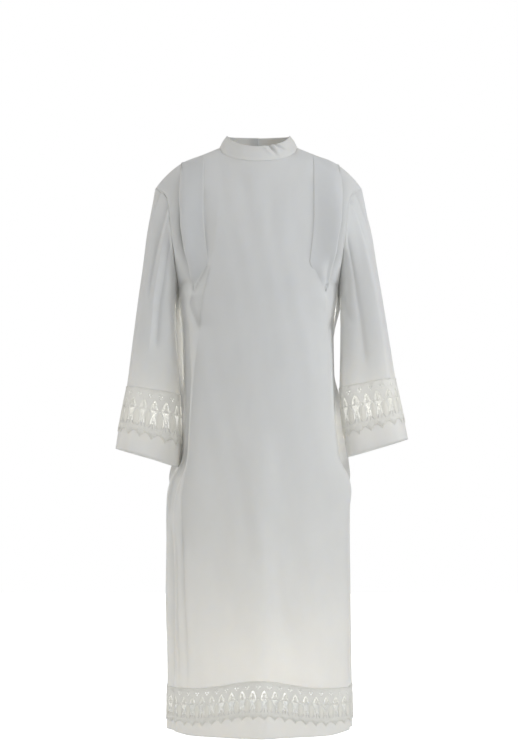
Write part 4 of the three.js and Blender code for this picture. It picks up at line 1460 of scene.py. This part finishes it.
# each light: place, size in metres, power and colour
studioLights = {
    "leftHigh": [(-2.2, -0.6, 0.4), (0.9, 0.9), 8.2, (1, 0.965, 0.91)],
    "leftLow": [(-2.2, -0.8, -1.2), (0.9, 0.6), 4.6, (1, 0.975, 0.925)],
    "rightHigh": [(1.6, -0.95, 0.3), (0.6, 0.8), 11.6, (0.965, 0.98, 1)],
    "rightLow": [(2.0, -0.9, -1.2), (0.9, 0.6), 3.6, (0.98, 0.99, 0.985)],
    "frontFill": [(0.2, -1.8, 1.1), (1.2, 0.8), 8.6, (1, 0.99, 0.98)],
    "lowFill": [(-0.05, -0.95, -1.38), (1.5, 0.15), 0.75, (0.98, 1, 0.96)],
    "backFill": [(0.3, 2.6, 0.4), (1.6, 1.6), 16, (1, 0.99, 0.97)],
}
studioAim = (0, 0, -0.75)
# thin lights beside the sleeves, facing back, for the light that comes through the cloth there
gapLights = {
    "rightGap": [(-0.194, -0.005, -0.49), (0.006, 0.22), 0.019, (1, 0.96, 0.89)],
    "rightGapLow": [(-0.19, -0.02, -0.68), (0.006, 0.14), 0.0035, (1, 0.96, 0.89)],
    "leftGap": [(0.203, -0.005, -0.69), (0.006, 0.16), 0.021, (1, 0.96, 0.89)],
    "leftGapHigh": [(0.192, -0.005, -0.4), (0.006, 0.08), 0.006, (1, 0.98, 0.94)],
}
# light that comes through the thin cloth and fills its inside: place, radius and power
insideLights = {
    "skirtGlow": [(0.02, 0.0, -1.28), 0.07, 0.85],
    "rightCuffGlow": [(-0.262, -0.01, -0.66), 0.03, 0.1],
    "leftCuffGlow": [(0.278, -0.01, -0.64), 0.03, 0.1],
}
floorSettings = {"half": 7, "below": 0.05, "colour": (0.86, 0.86, 0.86)}


def makeFloor():
    # pale, under the hem; the camera sees it as white as the wall behind
    s = floorSettings
    mesh = bpy.data.meshes.new("studioFloor")
    low = cadBox[0][2] - s["below"]
    corners = [(x * s["half"], y * s["half"], low) for x, y in ((-1, -1), (1, -1), (1, 1), (-1, 1))]
    mesh.from_pydata(corners, [], [(0, 1, 2, 3)])
    floor = addObject("studioFloor", mesh)
    material, tree, shader = newMaterial("paleFloor")
    setInputs(shader, {"Base Color": (*s["colour"], 1), "Roughness": 0.9, "Emission Color": (1, 1, 1, 1)})
    seen = tree.nodes.new("ShaderNodeLightPath").outputs["Is Camera Ray"]
    tree.links.new(seen, shader.inputs["Emission Strength"])
    clear, below = addNode(tree, "BsdfTransparent"), addNode(tree, "NewGeometry").outputs["Backfacing"]
    blend = addNode(tree, "MixShader", links={0: below, 1: shader.outputs[0], 2: clear.outputs[0]})
    tree.links.new(blend.outputs[0], tree.nodes["Material Output"].inputs["Surface"])
    mesh.materials.append(material)


def makeCamera():
    s = cameraSettings
    data = bpy.data.cameras.new("camera")
    data.lens, data.sensor_width, data.shift_y = s["lens"], 36, s["shift"]
    camera = addObject("camera", data, [v * millimetre for v in s["at"]])
    camera.rotation_euler = (math.radians(90 + s["tilt"]), 0, 0)
    bpy.context.scene.camera = camera


def addLight(name, kind, at, power):
    data = bpy.data.lights.new(name, kind)
    data.energy = power
    light = addObject(name, data, at)
    light.visible_camera = False
    return light


def makeLights():
    for name, (at, size, power, colour) in {**studioLights, **gapLights}.items():
        light = addLight(name, "AREA", at, power)
        light.data.shape, light.data.color = "RECTANGLE", colour
        light.data.size, light.data.size_y = size
        aim = studioAim if name in studioLights else (at[0], 1, at[2])
        light.rotation_euler = (Vector(aim) - Vector(at)).to_track_quat("-Z", "Y").to_euler()
    for name, (at, radius, power) in insideLights.items():
        addLight(name, "POINT", at, power).data.shadow_soft_size = radius
    world = bpy.data.worlds.new("studio")
    world.use_nodes = True
    bpy.context.scene.world = world
    tree = world.node_tree
    background = tree.nodes["Background"]
    seen = tree.nodes.new("ShaderNodeLightPath").outputs["Is Camera Ray"]
    values = {"To Min": worldLight["lighting"], "To Max": worldLight["seen"]}
    strength = addNode(tree, "MapRange", values, {"Value": seen})
    tree.links.new(strength.outputs[0], background.inputs["Strength"])
    background.inputs["Color"].default_value = (1, 1, 1, 1)
    bpy.context.scene.view_settings.view_transform = "Standard"


print("camera, floor and lights")
makeCamera()
makeFloor()
makeLights()

print("done")
